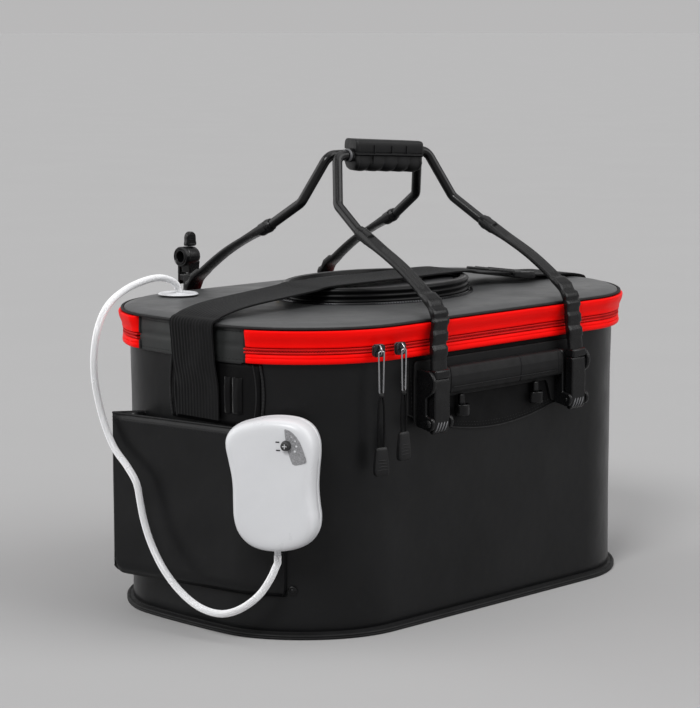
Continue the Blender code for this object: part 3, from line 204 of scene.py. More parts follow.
def mm(u, v, *offsets):
    """Points round (u, v), each given as two offsets in millimetres."""
    return [(u + a / 1000, v + b / 1000) for a, b in zip(offsets[::2], offsets[1::2])]


def triples(*values):
    """Points given as three values in millimetres."""
    return [tuple(v / 1000 for v in values[i:i + 3]) for i in range(0, len(values), 3)]


PUMP_OUTLINE = mm(0, 0, -45.5, 37.5, -42.5, 47.5, -34.5, 54.5, -21.5, 59, -6, 62.5, 11, 63.2, 26, 60.8,
                  36.5, 54, 42, 43, 43, 30, 41.5, 13, 40.7, -4, 42, -20, 43.5, -32, 41.5, -44, 34, -54.5,
                  22, -60.5, 5, -63.5, -12, -62.2, -24, -57, -33, -47, -37.2, -34, -38, -20, -38.2, -5,
                  -39.5, 8, -42.5, 22)
HOSE_ROUTE = triples(
    -168, 122.6, 312.5, -178, 120, 318, -196, 116.5, 322.2, -219, 112.5, 321.5, -250, 106, 315.5,
    -279, 97.5, 304, -295.5, 92.5, 287, -303.5, 90.5, 265, -305, 90, 242, -302.5, 89, 219, -300, 82.5, 193,
    -299, 69, 169, -299, 50, 153, -299, 36, 138, -299, 31, 121, -299, 25.5, 102, -299, 14.5, 80,
    -299, -2.5, 59, -298.5, -25, 41.5, -298, -51.5, 30.5, -295, -77, 28, -289, -97, 34.5, -279, -112, 48,
    -269, -118, 63.5)
INNER_ROUTE = triples(
    -165, 123.5, 270, -165.5, 123, 230, -168, 120, 160, -170, 115, 90, -169, 102, 40, -162, 82, 18,
    -148, 60, 14.5, -130, 42, 14)


def shares(steps):
    """Even shares from 0 to 1."""
    return [k / steps for k in range(steps + 1)]


def arc(u, v, wide, high, start, end, steps):
    """Points on an ellipse round (u, v) from its half axes, from one angle to another in degrees."""
    angles = [math.radians(start + (end - start) * t) for t in shares(steps)]
    return [(u + wide * math.cos(a), v + high * math.sin(a)) for a in angles]


def bow(t):
    """The height of a unit circle, 1 in its middle and 0 at its sides."""
    return math.sqrt(max(0.0, 1 - t ** 2))


# Heights, read from the frame
def heights_of(node):
    low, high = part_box(node)
    return low.z, high.z


FLOOR_TOP = heights_of("tub_floor")[1]
WALL_BOTTOM, WALL_TOP = heights_of("tub_wall")
TAPE_BOTTOM, TAPE_TOP = heights_of("tub_zip_tape")
TEETH_LOW = heights_of("zip_teeth_lower")
TEETH_HIGH = heights_of("zip_teeth_upper")
BAND_BOTTOM, BAND_TOP = heights_of("lid_band")
COLLAR_BOTTOM, COLLAR_TOP = heights_of("hatch_collar")
PANEL_BOTTOM = BAND_TOP + GAP
LID_EDGE = PANEL_BOTTOM + PANEL
LID_FLAT = LID_EDGE + EDGE_RISE
LID_TOP = LID_FLAT + DOME_RISE
JOINTS = {joint["name"]: joint for joint in frame["joints"]}
PIN_Y = abs(JOINTS["front_bail_swing"]["pos_m"][1])
PIN_Z = JOINTS["front_bail_swing"]["pos_m"][2]
HINGE_X, _, HINGE_Z = JOINTS["lid_open"]["pos_m"]
STRAIGHT_X = LENGTH / 2 - CORNER_RADIUS
STRAIGHT_Y = WIDTH / 2 - CORNER_RADIUS
ARC = math.pi / 2 * CORNER_RADIUS
SPANS = (STRAIGHT_Y, ARC, 2 * STRAIGHT_X, ARC, 2 * STRAIGHT_Y, ARC, 2 * STRAIGHT_X, ARC, STRAIGHT_Y)
PERIMETER = 4 * (STRAIGHT_X + STRAIGHT_Y + ARC)
END_X = LENGTH / 2 + END_BULGE
UP = Vector((0, 0, 1))


# Materials
def feed(mat, made, **inputs):
    """Set or link a node's sockets; their names have _ for a space."""
    for key, value in inputs.items():
        socket = made.inputs[key.replace("_", " ")]
        if isinstance(value, bpy.types.NodeSocket):
            mat.node_tree.links.new(value, socket)
        else:
            socket.default_value = (*value, 1.0) if socket.type == "RGBA" else value


def shader_node(mat, kind, settings=None, **inputs):
    made = mat.node_tree.nodes.new("ShaderNode" + kind)
    for key, value in (settings or {}).items():
        setattr(made, key, value)
    feed(mat, made, **inputs)
    return made


def principled(name, colour, roughness, **inputs):
    """A material, its shader and the place on the object."""
    mat = bpy.data.materials.new(name)
    mat.use_nodes = True
    mat.diffuse_color = (*colour, 1.0)
    shader = mat.node_tree.nodes["Principled BSDF"]
    feed(mat, shader, Base_Color=colour, Roughness=roughness, **inputs)
    return mat, shader, shader_node(mat, "TexCoord").outputs["Object"]


def ramp(mat, source, *stops):
    """A colour ramp over a value, its stops as (place, colour)."""
    made = shader_node(mat, "ValToRGB", Fac=source)
    for element, (place, colour) in zip(made.color_ramp.elements, stops):
        element.position = place
        element.color = (*colour, 1.0)
    return made.outputs["Color"]


def spread(mat, source, low, high, start=0.3, end=0.7):
    """A value mapped to the range low to high."""
    return shader_node(mat, "MapRange", Value=source, From_Min=start, From_Max=end,
                       To_Min=low, To_Max=high).outputs["Result"]


def speckle(mat, place, scale, detail=3.0, rough=0.55):
    return shader_node(
        mat, "TexNoise", Vector=place, Scale=scale, Detail=detail, Roughness=rough).outputs["Fac"]


def bumps(mat, shader, *layers):
    """Bump layers on top of each other, each (height, strength, depth in metres)."""
    below = {}
    for height, strength, depth in layers:
        made = shader_node(mat, "Bump", Strength=strength, Distance=depth, Height=height, **below)
        below = {"Normal": made.outputs["Normal"]}
    feed(mat, shader, **below)


def mixed(mat, factor, a, b):
    made = shader_node(mat, "Mix", {"data_type": "RGBA", "blend_type": "MIX"})
    for socket, value in zip((made.inputs[0], made.inputs[6], made.inputs[7]), (factor, a, b)):
        if isinstance(value, bpy.types.NodeSocket):
            mat.node_tree.links.new(value, socket)
        else:
            socket.default_value = value if isinstance(value, float) else (*value, 1.0)
    return made.outputs[2]


def moulded(name, dark, light, rough, gloss=0.5, grain=1700.0, depth=0.00006, blotch=30.0,
            soft=None, wear=0.5):
    """Sheet, rubber or plastic: blotchy colour, uneven gloss, fine grain and a soft unevenness."""
    mat, shader, place = principled(name, light, sum(rough) / 2, Specular_IOR_Level=gloss)
    tone = ramp(mat, speckle(mat, place, blotch, 5.0, 0.62), (0.30, dark), (0.72, light))
    rubbed = ramp(mat, speckle(mat, place, blotch * 9, 4.0, 0.7), (0.60, (0.0,) * 3), (0.86, (wear,) * 3))
    lighter = [min(1.0, c * 1.5 + 0.004) for c in light]
    feed(mat, shader, Base_Color=mixed(mat, rubbed, tone, lighter),
         Roughness=spread(mat, speckle(mat, place, blotch * 2.6, 4.0), *rough))
    layers = [(speckle(mat, place, soft[0], 2.0), 0.6, soft[1])] if soft else []
    bumps(mat, shader, *layers, (speckle(mat, place, grain, 2.0, 0.6), 0.5, depth))
    return mat


def make_webbing(name, dark, light):
    """Woven strap: ribs along its length and a fine cross weave, read from the strap's own map."""
    mat, shader, place = principled(name, light, 0.85, Specular_IOR_Level=0.12, Sheen_Weight=0.13,
                                    Sheen_Roughness=0.35)
    flat = shader_node(mat, "UVMap", {"uv_map": "map"}).outputs["UV"]
    across, along = [
        shader_node(mat, "TexWave", {"wave_type": "BANDS", "bands_direction": direction}, Vector=flat,
                    Scale=scale, Distortion=wobble, Detail=1.0).outputs
        for direction, scale, wobble in (("X", 73.0, 0.4), ("Y", 290.0, 0.6))]
    tone = mixed(mat, mixed(mat, 0.5, across["Color"], along["Color"]), dark, light)
    faded = [c * 1.8 + 0.004 for c in light]
    worn = spread(mat, speckle(mat, place, 22.0, 5.0, 0.65), 0.0, 0.5, 0.5, 0.8)
    feed(mat, shader, Base_Color=mixed(mat, worn, tone, faded))
    bumps(mat, shader, (across["Fac"], 0.7, 0.00022), (along["Fac"], 0.6, 0.00012),
          (speckle(mat, place, 2600.0, 2.0, 0.7), 0.5, 0.00006))
    return mat


def make_metal(name, dark, light, rough, **inputs):
    mat, shader, place = principled(name, light, sum(rough) / 2, **inputs)
    lines = speckle(mat, place, 900.0, 3.0)
    feed(mat, shader, Base_Color=ramp(mat, speckle(mat, place, 60.0, 4.0), (0.3, dark), (0.7, light)),
         Roughness=spread(mat, lines, *rough))
    bumps(mat, shader, (speckle(mat, place, 420.0, 2.0), 0.25, 0.00005), (lines, 0.3, 0.00003))
    return mat


def make_hose():
    """Milky PVC, clearer where it is seen face on, with faint lengthwise drawing lines."""
    mat, shader, place = principled("hose_pvc", (0.96, 0.96, 0.97), 0.20, IOR=1.42, Specular_IOR_Level=0.5)
    edge_on = shader_node(mat, "LayerWeight", Blend=0.5).outputs["Facing"]
    flat = shader_node(mat, "UVMap", {"uv_map": "map"}).outputs["UV"]
    drawn = shader_node(mat, "Mapping", Vector=flat, Scale=(1.0, 0.01, 1.0)).outputs["Vector"]
    milky = speckle(mat, place, 45.0, 2.0)
    feed(mat, shader, Transmission_Weight=spread(mat, edge_on, 0.50, 0.0, 0.15, 0.65),
         Base_Color=ramp(mat, milky, (0.3, (0.93, 0.93, 0.94)), (0.7, (0.97, 0.97, 0.98))),
         Roughness=spread(mat, milky, 0.20, 0.30))
    bumps(mat, shader, (speckle(mat, drawn, 500.0, 1.0), 0.15, 0.00003))
    return mat


def make_stone():
    mat, shader, place = principled("air_stone_grit", (0.30, 0.36, 0.42), 0.92)
    pores = shader_node(mat, "TexVoronoi", Vector=place, Scale=1300.0).outputs["Distance"]
    feed(mat, shader, Base_Color=ramp(mat, pores, (0.1, (0.08, 0.11, 0.15)), (0.6, (0.36, 0.42, 0.50))))
    bumps(mat, shader, (pores, 0.9, 0.0004))
    return mat


def make_decal():
    """A printed field of coarse dots."""
    dark, light = (0.15, 0.15, 0.155), (0.33, 0.33, 0.34)
    mat, shader, place = principled("dial_field", light, 0.4)
    dots = speckle(mat, place, 1300.0, 2.0, 0.8)
    feed(mat, shader, Base_Color=ramp(mat, dots, (0.42, dark), (0.58, light)))
    bumps(mat, shader, (dots, 0.2, 0.00002))
    return mat


# Each look: its slot and its material. A moulded one has colours in thousandths, the range of its
# roughness, gloss, grain and its depth, blotches, a soft unevenness and wear
LOOKS = {
    "web": ("webbing", make_webbing("strap_webbing", (0.0016, 0.0016, 0.0018), (0.0080, 0.0080, 0.0084))),
    "paint": ("steel", make_metal("painted_steel", (0.0030, 0.0030, 0.0033), (0.0062, 0.0062, 0.0066),
                                  (0.18, 0.30), Coat_Weight=0.05, Coat_Roughness=0.2,
                                  Specular_IOR_Level=0.26)),
    "steel": ("steel", make_metal("bright_steel", (0.26, 0.26, 0.27), (0.48, 0.48, 0.49), (0.14, 0.28),
                                  Metallic=1.0)),
    "gun": ("grey", make_metal("dark_nickel", (0.022, 0.022, 0.024), (0.055, 0.055, 0.058), (0.16, 0.30),
                               Metallic=0.8)),
    "brass": ("steel", make_metal("brass", (0.52, 0.34, 0.10), (0.70, 0.48, 0.18), (0.2, 0.34),
                                  Metallic=1.0)),
    "hose": ("hose", make_hose()),
    "stone": ("stone", make_stone()),
    "decal": ("grey", make_decal()),
}
for look, slot_name, title, dark_tone, light_tone, *rest in (
        ("eva", "eva", "eva_sheet", (4.2, 4.3, 4.6), (7, 7.1, 7.5), (0.28, 0.39), 0.20, 1700, 0.00005, 9,
         (28, 0.0012)),
        # dark_sheet serves the pull cords and strap anchors, and is painted shade on the handle patches
        ("dark", "eva", "dark_sheet", (1.8, 1.8, 2), (3.6, 3.6, 3.9), (0.52, 0.68), 0.10),
        ("matt", "plastic", "matt_moulding", (4, 4, 4.2), (7.2, 7.2, 7.6), (0.50, 0.66), 0.18, 1900,
         0.00008, 40),
        # lid_sheet is the walls' black EVA painted about ten times lighter: painted sheen of the lid's lit top
        ("lid", "eva", "lid_sheet", (50, 51, 52), (72, 73, 74), (0.32, 0.48), 0.5, 1700, 0.00006, 9,
         (24, 0.0014)),
        # cover_sheet is the same black EVA painted lighter for the lit top, and darker than the lid: painted
        # shadow of the strap over it
        ("cover", "eva", "cover_sheet", (18, 18, 19), (28, 28, 29), (0.32, 0.48), 0.4, 1700, 0.00006, 9,
         (24, 0.0014)),
        ("hinge", "eva", "hinge_sheet", (15, 16, 16), (25, 27, 26), (0.45, 0.6), 0.3, 1700, 0.00006, 20,
         (40, 0.0008)),
        ("red", "red", "red_vinyl", (860, 2.6, 1.8), (960, 4.8, 3.2), (0.34, 0.48), 0.05, 1500, 0.00005, 16,
         (60, 0.0005)),
        ("zip", "red", "zip_coil", (460, 3, 3), (660, 5, 4), (0.5, 0.65), 0.12, 2200, 0.00006, 60),
        ("plastic", "plastic", "nylon_moulding", (2.6, 2.6, 2.8), (5, 5, 5.4), (0.20, 0.32), 0.24, 1900,
         0.00006, 40, None, 0.3),
        ("collar", "eva", "collar_sheet", (2.2, 2.2, 2.4), (4.2, 4.2, 4.5), (0.26, 0.40), 0.14, 1700,
         0.00005, 30, None, 0.3),
        ("rubber", "rubber", "soft_rubber", (3.8, 3.8, 4.1), (7, 7, 7.4), (0.38, 0.54), 0.24, 2100,
         0.00009, 50),
        ("piping", "rubber", "gloss_piping", (4, 4, 4), (7, 7, 7.5), (0.16, 0.28), 0.5, 900, 0.00003, 40),
        ("bind", "rubber", "dark_binding", (5, 5, 5.2), (9.5, 9.5, 10), (0.55, 0.75), 0.25, 2600,
         0.00012, 80),
        ("white", "white", "white_moulding", (610, 615, 630), (660, 665, 680), (0.26, 0.36), 0.45, 2400,
         0.00003, 12, None, 0.06),
        ("grey", "grey", "grey_moulding", (70, 70, 75), (110, 110, 115), (0.35, 0.5), 0.5, 1900, 0.00005, 50),
        ("ink", "grey", "dark_ink", (12, 12, 12), (20, 20, 21), (0.4, 0.5), 0.5, 2500, 0.00002, 80)):
    LOOKS[look] = (slot_name, moulded(title, *triples(*dark_tone, *light_tone), *rest))

# Faces of a small box with its corners in two rings of four
BOX_FACES = ((0, 3, 2, 1), (4, 5, 6, 7), (0, 1, 5, 4), (2, 3, 7, 6), (1, 2, 6, 5), (3, 0, 4, 7))


# Shapes
def put(name, data):
    made = bpy.data.objects.new(name, data)
    bpy.context.scene.collection.objects.link(made)
    return made


def piece(name, verts, faces, look, body, stands_for="", slot=None, sharp=35, flat_map=None):
    """One visible piece: its mesh, look, body and the CAD nodes that it stands for; slot is not used."""
    mesh = bpy.data.meshes.new(name)
    mesh.from_pydata([tuple(v) for v in verts], [], faces)
    if flat_map:
        layer = mesh.uv_layers.new(name="map")
        for corner, uv in zip(layer.data, flat_map):
            corner.uv = uv
    work = bmesh.new()
    work.from_mesh(mesh)
    bmesh.ops.recalc_face_normals(work, faces=work.faces)
    work.to_mesh(mesh)
    work.free()
    mesh.shade_smooth()
    mesh.set_sharp_from_angle(angle=math.radians(sharp))
    mesh.materials.append(LOOKS[look][1])
    made = put(name, mesh)
    if body:
        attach(made, body)
    if stands_for:
        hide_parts(stands_for)
    return made


def small_boxes(name, boxes, look, body, stands_for="", **more):
    """Many small boxes in one piece, each given by its eight corners."""
    faces = [tuple(8 * i + k for k in face) for i in range(len(boxes)) for face in BOX_FACES]
    return piece(name, [p for box in boxes for p in box], faces, look, body, stands_for, **more)


def walk(path):
    """The way walked along a path at each of its points."""
    walked = [0.0]
    for a, b in zip(path, path[1:]):
        walked.append(walked[-1] + (b - a).length)
    return walked


def path_length(path):
    return walk(path)[-1]


def skin(name, rows, look, body, stands_for="", ringed=True, closed=False, **more):
    """A skin over rows or rings of equal count, mapped in metres across and along."""
    rows = [[Vector(p) for p in row] for row in rows]
    count = len(rows[0])
    across = walk(rows[0] + rows[0][:1])
    along = walk([row[0] for row in rows + rows[:1]])
    faces, flat = [], []
    for i in range(len(rows) if closed else len(rows) - 1):
        a, b = i * count, (i + 1) % len(rows) * count
        for j in range(count if ringed else count - 1):
            k = (j + 1) % count
            faces.append((a + j, a + k, b + k, b + j))
            flat += [(across[m], along[n]) for m, n in ((j, i), (j + 1, i), (j + 1, i + 1), (j, i + 1))]
    if ringed and not closed:
        for start in (0, (len(rows) - 1) * count):
            faces.append(tuple(range(start, start + count)))
            flat += [(across[j], 0.0) for j in range(count)]
    return piece(name, [p for row in rows for p in row], faces, look, body, stands_for, flat_map=flat, **more)


def sheet_of(name, rows, look, body, thick, stands_for="", **more):
    """An open skin over rows of points, given a thickness."""
    made = skin(name, rows, look, body, stands_for, False, **more)
    solid = made.modifiers.new("thickness", "SOLIDIFY")
    solid.thickness = thick
    solid.offset = 0.0
    return made


def bevelled(obj, width, segments=2):
    step = obj.modifiers.new("edges", "BEVEL")
    step.width = width
    step.segments = segments
    step.limit_method = "ANGLE"
    step.angle_limit = math.radians(30)
    return obj


def cut(obj, tool):
    """Bore one object with another and make that part of its mesh."""
    step = obj.modifiers.new("cut", "BOOLEAN")
    step.operation = "DIFFERENCE"
    step.object = tool
    step.solver = "EXACT"
    bpy.context.view_layer.update()
    mesh = bpy.data.meshes.new_from_object(obj.evaluated_get(bpy.context.evaluated_depsgraph_get()))
    obj.modifiers.clear()
    obj.data = mesh
    bpy.data.objects.remove(tool, do_unlink=True)


def prism(name, outline, plane, low, high, look, body, stands_for="", bevel=0.0006, segments=2):
    """An outline in one plane, extruded along the third axis and bevelled."""
    def at(u, v, depth):
        return {"XZ": (u, depth, v), "YZ": (depth, u, v)}[plane]
    rings = [[at(*p, depth) for p in outline] for depth in (low, high)]
    return bevelled(skin(name, rings, look, body, stands_for), bevel, segments)


def oblong(u, v):
    """Corners of a rectangle from its half sides."""
    return [(-u, -v), (u, -v), (u, v), (-u, v)]


def block(name, centre, size, look, body, stands_for="", bevel=0.001, segments=3, turn=0.0, taper=1.0):
    """A moulded block, its top drawn in by taper, turned about the vertical."""
    spin = Matrix.Rotation(turn, 3, "Z")
    rings = [[Vector(centre) + spin @ Vector((x * scale, y * scale, z))
              for x, y in oblong(size[0] / 2, size[1] / 2)]
             for z, scale in ((-size[2] / 2, 1.0), (size[2] / 2, taper))]
    return bevelled(skin(name, rings, look, body, stands_for), bevel, segments)


def around(centre, across, up, radius, count):
    """Points evenly round a circle."""
    turns = (2 * math.pi * k / count for k in range(count))
    return [centre + radius * (math.cos(a) * across + math.sin(a) * up) for a in turns]


def frames(path, side=None, closed=False):
    """Each point of a path with its directions across and up."""
    out, kept = [], None
    last = len(path) - 1
    for i, point in enumerate(path):
        if closed:
            ahead = path[(i + 1) % len(path)] - path[i - 1]
        else:
            ahead = path[min(i + 1, last)] - path[max(i - 1, 0)]
        ahead = ahead.normalized()
        if side is not None:
            across = Vector(side).normalized()
        else:
            kept = kept or ahead.orthogonal().normalized()
            across = kept = (kept - ahead * kept.dot(ahead)).normalized()
        out.append((point, across, ahead.cross(across).normalized()))
    return out


def tube(name, path, radius, look, body, stands_for="", segments=14, closed=False, **more):
    """A round tube on a path; radius is a number or a function of the place from 0 to 1."""
    path = [Vector(p) for p in path]
    rings = []
    for i, line in enumerate(frames(path, None, closed)):
        rings.append(around(*line, radius(i / (len(path) - 1)) if callable(radius) else radius, segments))
    return skin(name, rings, look, body, stands_for, closed=closed, sharp=50, **more)


def strip(name, path, side, section, look, body, stands_for="", sharp=35):
    """A section of (across, up) points swept along a path; section may depend on the place."""
    path = [Vector(p) for p in path]
    rings = []
    for i, (point, across, up) in enumerate(frames(path, side)):
        points = section(i / (len(path) - 1), point) if callable(section) else section
        rings.append([point + across * a + up * b for a, b in points])
    return skin(name, rings, look, body, stands_for, sharp=sharp)


def turned(name, start, axis, profile, look, body, stands_for="", segments=28, closed=False, sharp=32):
    """A turned piece: profile is (along, radius) pairs from start along axis."""
    axis = Vector(axis).normalized()
    across = axis.orthogonal().normalized()
    up = axis.cross(across)
    rings = [around(Vector(start) + axis * along, across, up, r, segments) for along, r in profile]
    return skin(name, rings, look, body, stands_for, closed=closed, sharp=sharp)


def stitches(name, path, outward, body):
    """A row of thread stitches lying on a surface; outward is a direction or one per point."""
    path = [Vector(p) for p in path]
    walked = walk(path)
    pitch, length, radius = STITCH
    verts, faces, at, i = [], [], pitch / 2, 0
    while at < walked[-1]:
        while walked[i + 1] < at:
            i += 1
        centre = path[i].lerp(path[i + 1], (at - walked[i]) / (walked[i + 1] - walked[i]))
        ahead = (path[i + 1] - path[i]).normalized()
        up = Vector(outward[i] if isinstance(outward, list) else outward).normalized()
        across = ahead.cross(up).normalized()
        first = len(verts)
        verts += [centre - ahead * length / 2, centre + across * radius, centre + up * radius,
                  centre - across * radius, centre - up * radius, centre + ahead * length / 2]
        for a, b in ((1, 2), (2, 3), (3, 4), (4, 1)):
            faces += [(first, first + b, first + a), (first + 5, first + a, first + b)]
        at += pitch
    return piece(name, verts, faces, "bind", body, slot="webbing", sharp=80)


def smooth_path(points, step):
    """A smooth curve through given points, read at an even step."""
    pts = [Vector(p) for p in points]
    pts = [2 * pts[0] - pts[1]] + pts + [2 * pts[-1] - pts[-2]]
    fine = []
    for p0, p1, p2, p3 in zip(pts, pts[1:], pts[2:], pts[3:]):
        for t in shares(12)[:-1]:
            fine.append(0.5 * (2 * p1 + (p2 - p0) * t + (2 * p0 - 5 * p1 + 4 * p2 - p3) * t ** 2
                               + (3 * p1 - p0 - 3 * p2 + p3) * t ** 3))
    fine.append(pts[-2])
    length = path_length(fine)
    count = max(2, round(length / step))
    out = [fine[0]]
    target, walked, i = length / count, 0.0, 0
    while len(out) < count:
        span = (fine[i + 1] - fine[i]).length
        if walked + span >= target * len(out):
            out.append(fine[i].lerp(fine[i + 1], (target * len(out) - walked) / span))
        else:
            walked += span
            i += 1
    return out + [fine[-1]]


def rounded_path(points, radius, steps=8, closed=False):
    """Straight runs with a round bend at each corner."""
    pts = [Vector(p) for p in points]
    if closed:
        corners = list(zip(pts[-1:] + pts, pts, pts[1:] + pts[:1]))
    else:
        corners = list(zip(pts, pts[1:], pts[2:]))
    out = []
    for before, corner, after in corners:
        into, away = (corner - before).normalized(), (after - corner).normalized()
        angle = into.angle(away)
        if angle < 0.02:
            out.append(corner)
            continue
        room = 0.48 * min((corner - before).length, (after - corner).length)
        reach = min(radius * math.tan(angle / 2), room)
        bend = reach / math.tan(angle / 2)
        toward = (away - into * into.dot(away)).normalized()
        for turn in (angle * k / steps for k in range(steps + 1)):
            out.append(corner - into * (reach - bend * math.sin(turn)) + toward * bend * (1 - math.cos(turn)))
    return out if closed else [pts[0]] + out + [pts[-1]]


def soft_outline(points, radius, steps=4):
    """A flat outline with rounded corners, as pairs."""
    return [(p.x, p.y) for p in rounded_path([(x, y, 0) for x, y in points], radius, steps, True)]


def clamp(t):
    return max(0.0, min(1.0, t))


def ease(t):
    t = clamp(t)
    return t * t * (3 - 2 * t)


def ripple(x, y, z, size):
    return noise.noise(Vector((x / size, y / size, z / size)))


def edge_base(s):
    """A point of the tub's rounded rectangle, s along it from the left end's middle."""
    s = s % PERIMETER
    i = 0
    while i < 8 and s > SPANS[i]:
        s -= SPANS[i]
        i += 1
    if i % 2:
        sx, sy = ((-1, -1), (1, -1), (1, 1), (-1, 1))[i // 2]
        angle = (2 + i // 2) * math.pi / 2 + s / CORNER_RADIUS
        return (sx * STRAIGHT_X + CORNER_RADIUS * math.cos(angle),
                sy * STRAIGHT_Y + CORNER_RADIUS * math.sin(angle))
    return ((-LENGTH / 2, -s), (-STRAIGHT_X + s, -WIDTH / 2), (LENGTH / 2, -STRAIGHT_Y + s),
            (STRAIGHT_X - s, WIDTH / 2), (-LENGTH / 2, STRAIGHT_Y - s))[i // 2]


def edge_bulged(s):
    x, y = edge_base(s)
    reach = max(0.0, (abs(x) - STRAIGHT_X) / CORNER_RADIUS)
    belly = END_BULGE * (1 - (2 * y / WIDTH) ** 2) * reach ** 3
    return Vector((x + math.copysign(belly, x), y))


def edge_normal(s):
    tangent = (edge_bulged(s + 0.0005) - edge_bulged(s - 0.0005)).normalized()
    return Vector((tangent.y, -tangent.x, 0.0))


def edge(s, out=0.0, z=0.0):
    """A point of the wall's outline, moved outward by out, at height z."""
    foot = edge_bulged(s)
    return Vector((foot.x, foot.y, z)) + edge_normal(s) * out


def stations(start=0.0, end=PERIMETER, step=0.008):
    """Places along the edge, evenly spaced on each of its spans."""
    marks, at = [], 0.0
    for span in SPANS:
        parts = max(2, round(span / step))
        marks += [at + span * i / parts for i in range(parts)]
        at += span
    if (start, end) == (0.0, PERIMETER):
        return marks
    every = [m + turn * PERIMETER for turn in (-1, 0, 1) for m in marks]
    return [start] + [m for m in every if start + 0.002 < m < end - 0.002] + [end]


def hoop(name, profile, look, body, stands_for="", start=None, end=None, step=0.008, round_end=0.0, **more):
    """A profile of (out, z) swept round the tub's edge; round_end draws its ends in over that length."""
    whole = start is None
    marks = stations(step=step) if whole else stations(start, end, step)
    if round_end:
        extra = [round_end * k for k in (0.08, 0.25, 0.55, 1.0)]
        inner = [m for m in marks[1:-1] if start + round_end < m < end - round_end]
        marks = [start] + [start + e for e in extra] + inner + [end - e for e in reversed(extra)] + [end]
    rings = []
    for s in marks:
        share = 1.0
        if round_end:
            near = min(1.0, min(s - start, end - s) / round_end)
            share = 0.45 + 0.55 * bow(1 - near)
        points = profile(s) if callable(profile) else profile
        rings.append([edge(s, out * share, z) for out, z in points])
    return skin(name, rings, look, body, stands_for, closed=whole, **more)


# Camera, lights and floor
def build_stage():
    data = bpy.data.cameras.new("camera")
    data.lens = 122.80
    data.sensor_width = 36.0
    data.clip_end = 200.0
    camera = put("camera", data)
    camera.location = (-1.79141, -1.70504, 0.58906)
    camera.rotation_euler = Vector((0.70908, 0.69084, -0.14120)).to_track_quat("-Z", "Y").to_euler()
    bpy.context.scene.camera = camera
    bpy.context.scene.view_settings.view_transform = "Standard"
    for name, aim, angle, power in (("sun_right", (0.45, -0.80, 0.60), 50.0, 1.55),
                                    ("sun_back", (-0.60, 0.75, 0.35), 60.0, 1.50),
                                    ("sun_left", (-0.85, -0.35, 0.75), 18.0, 1.70),
                                    ("sun_top", (0.10, -0.10, 1.0), 60.0, 0.95)):
        lamp = bpy.data.lights.new(name, "SUN")
        lamp.angle = math.radians(angle)
        lamp.energy = power
        made = put(name, lamp)
        made.location = Vector(aim) * 3
        made.rotation_euler = Vector(aim).to_track_quat("Z", "Y").to_euler()
    world = bpy.data.worlds.new("studio")
    bpy.context.scene.world = world
    world.use_nodes = True
    nodes, links = world.node_tree.nodes, world.node_tree.links
    light = nodes["Background"]
    feed(world, light, Color=(0.90, 0.92, 0.95), Strength=0.27)
    backdrop = shader_node(world, "Background", Color=(0.484, 0.480, 0.482))
    ray = shader_node(world, "LightPath").outputs
    seen = ray["Is Camera Ray"]
    for kind in ("Is Transmission Ray", "Is Glossy Ray"):
        either = shader_node(world, "Math", {"operation": "MAXIMUM"})
        links.new(seen, either.inputs[0])
        links.new(ray[kind], either.inputs[1])
        seen = either.outputs[0]
    mix = shader_node(world, "MixShader", Fac=seen)
    links.new(light.outputs[0], mix.inputs[1])
    links.new(backdrop.outputs[0], mix.inputs[2])
    feed(world, nodes["World Output"], Surface=mix.outputs[0])
    mesh = bpy.data.meshes.new("ground")
    floor = around(Vector(), Vector((60, 0, 0)), Vector((0, 60, 0)), 1.0, 48)
    mesh.from_pydata(floor, [], [tuple(range(len(floor)))])
    ground = put("ground", mesh)
    mat, shader, place = principled("pale_ground", (0.374, 0.370, 0.370), 1.0, Specular_IOR_Level=0.0)
    feed(mat, shader, Base_Color=ramp(mat, speckle(mat, place, 3.0, 5.0), (0.25, (0.370, 0.366, 0.366)),
                                      (0.75, (0.378, 0.374, 0.374))))
    mesh.materials.append(mat)


# Air line
def pump_frame():
    """Centre of the pump's seam, its outward normal and its face's sideways direction."""
    normal = edge_normal(PUMP_S)
    side = Vector((-normal.y, normal.x, 0))
    return edge(PUMP_S, 0, PUMP_Z) + normal * PUMP_OFF + side * PUMP_ASIDE, normal, side


def nozzle_tip():
    centre, normal, _ = pump_frame()
    return centre - UP * (PUMP_B - 0.001 + NOZZLE_LENGTH) - normal * NOZZLE_IN


def hose_path(start, leaves, route, end, arrives):
    first, last = start + leaves * HOSE_RUN, end - arrives * HOSE_RUN
    return [start, start + leaves * HOSE_RUN / 2] + smooth_path([first, *route, last], 0.006) + [end]


def hollow(name, path, stands_for):
    """A hose with a bore, its ends cut square."""
    outer, inner = [[around(*line, r, 16) for line in frames(path)] for r in (HOSE_RADIUS, HOSE_BORE)]
    return skin(name, outer + inner[::-1], "hose", None, stands_for, closed=True, sharp=50)


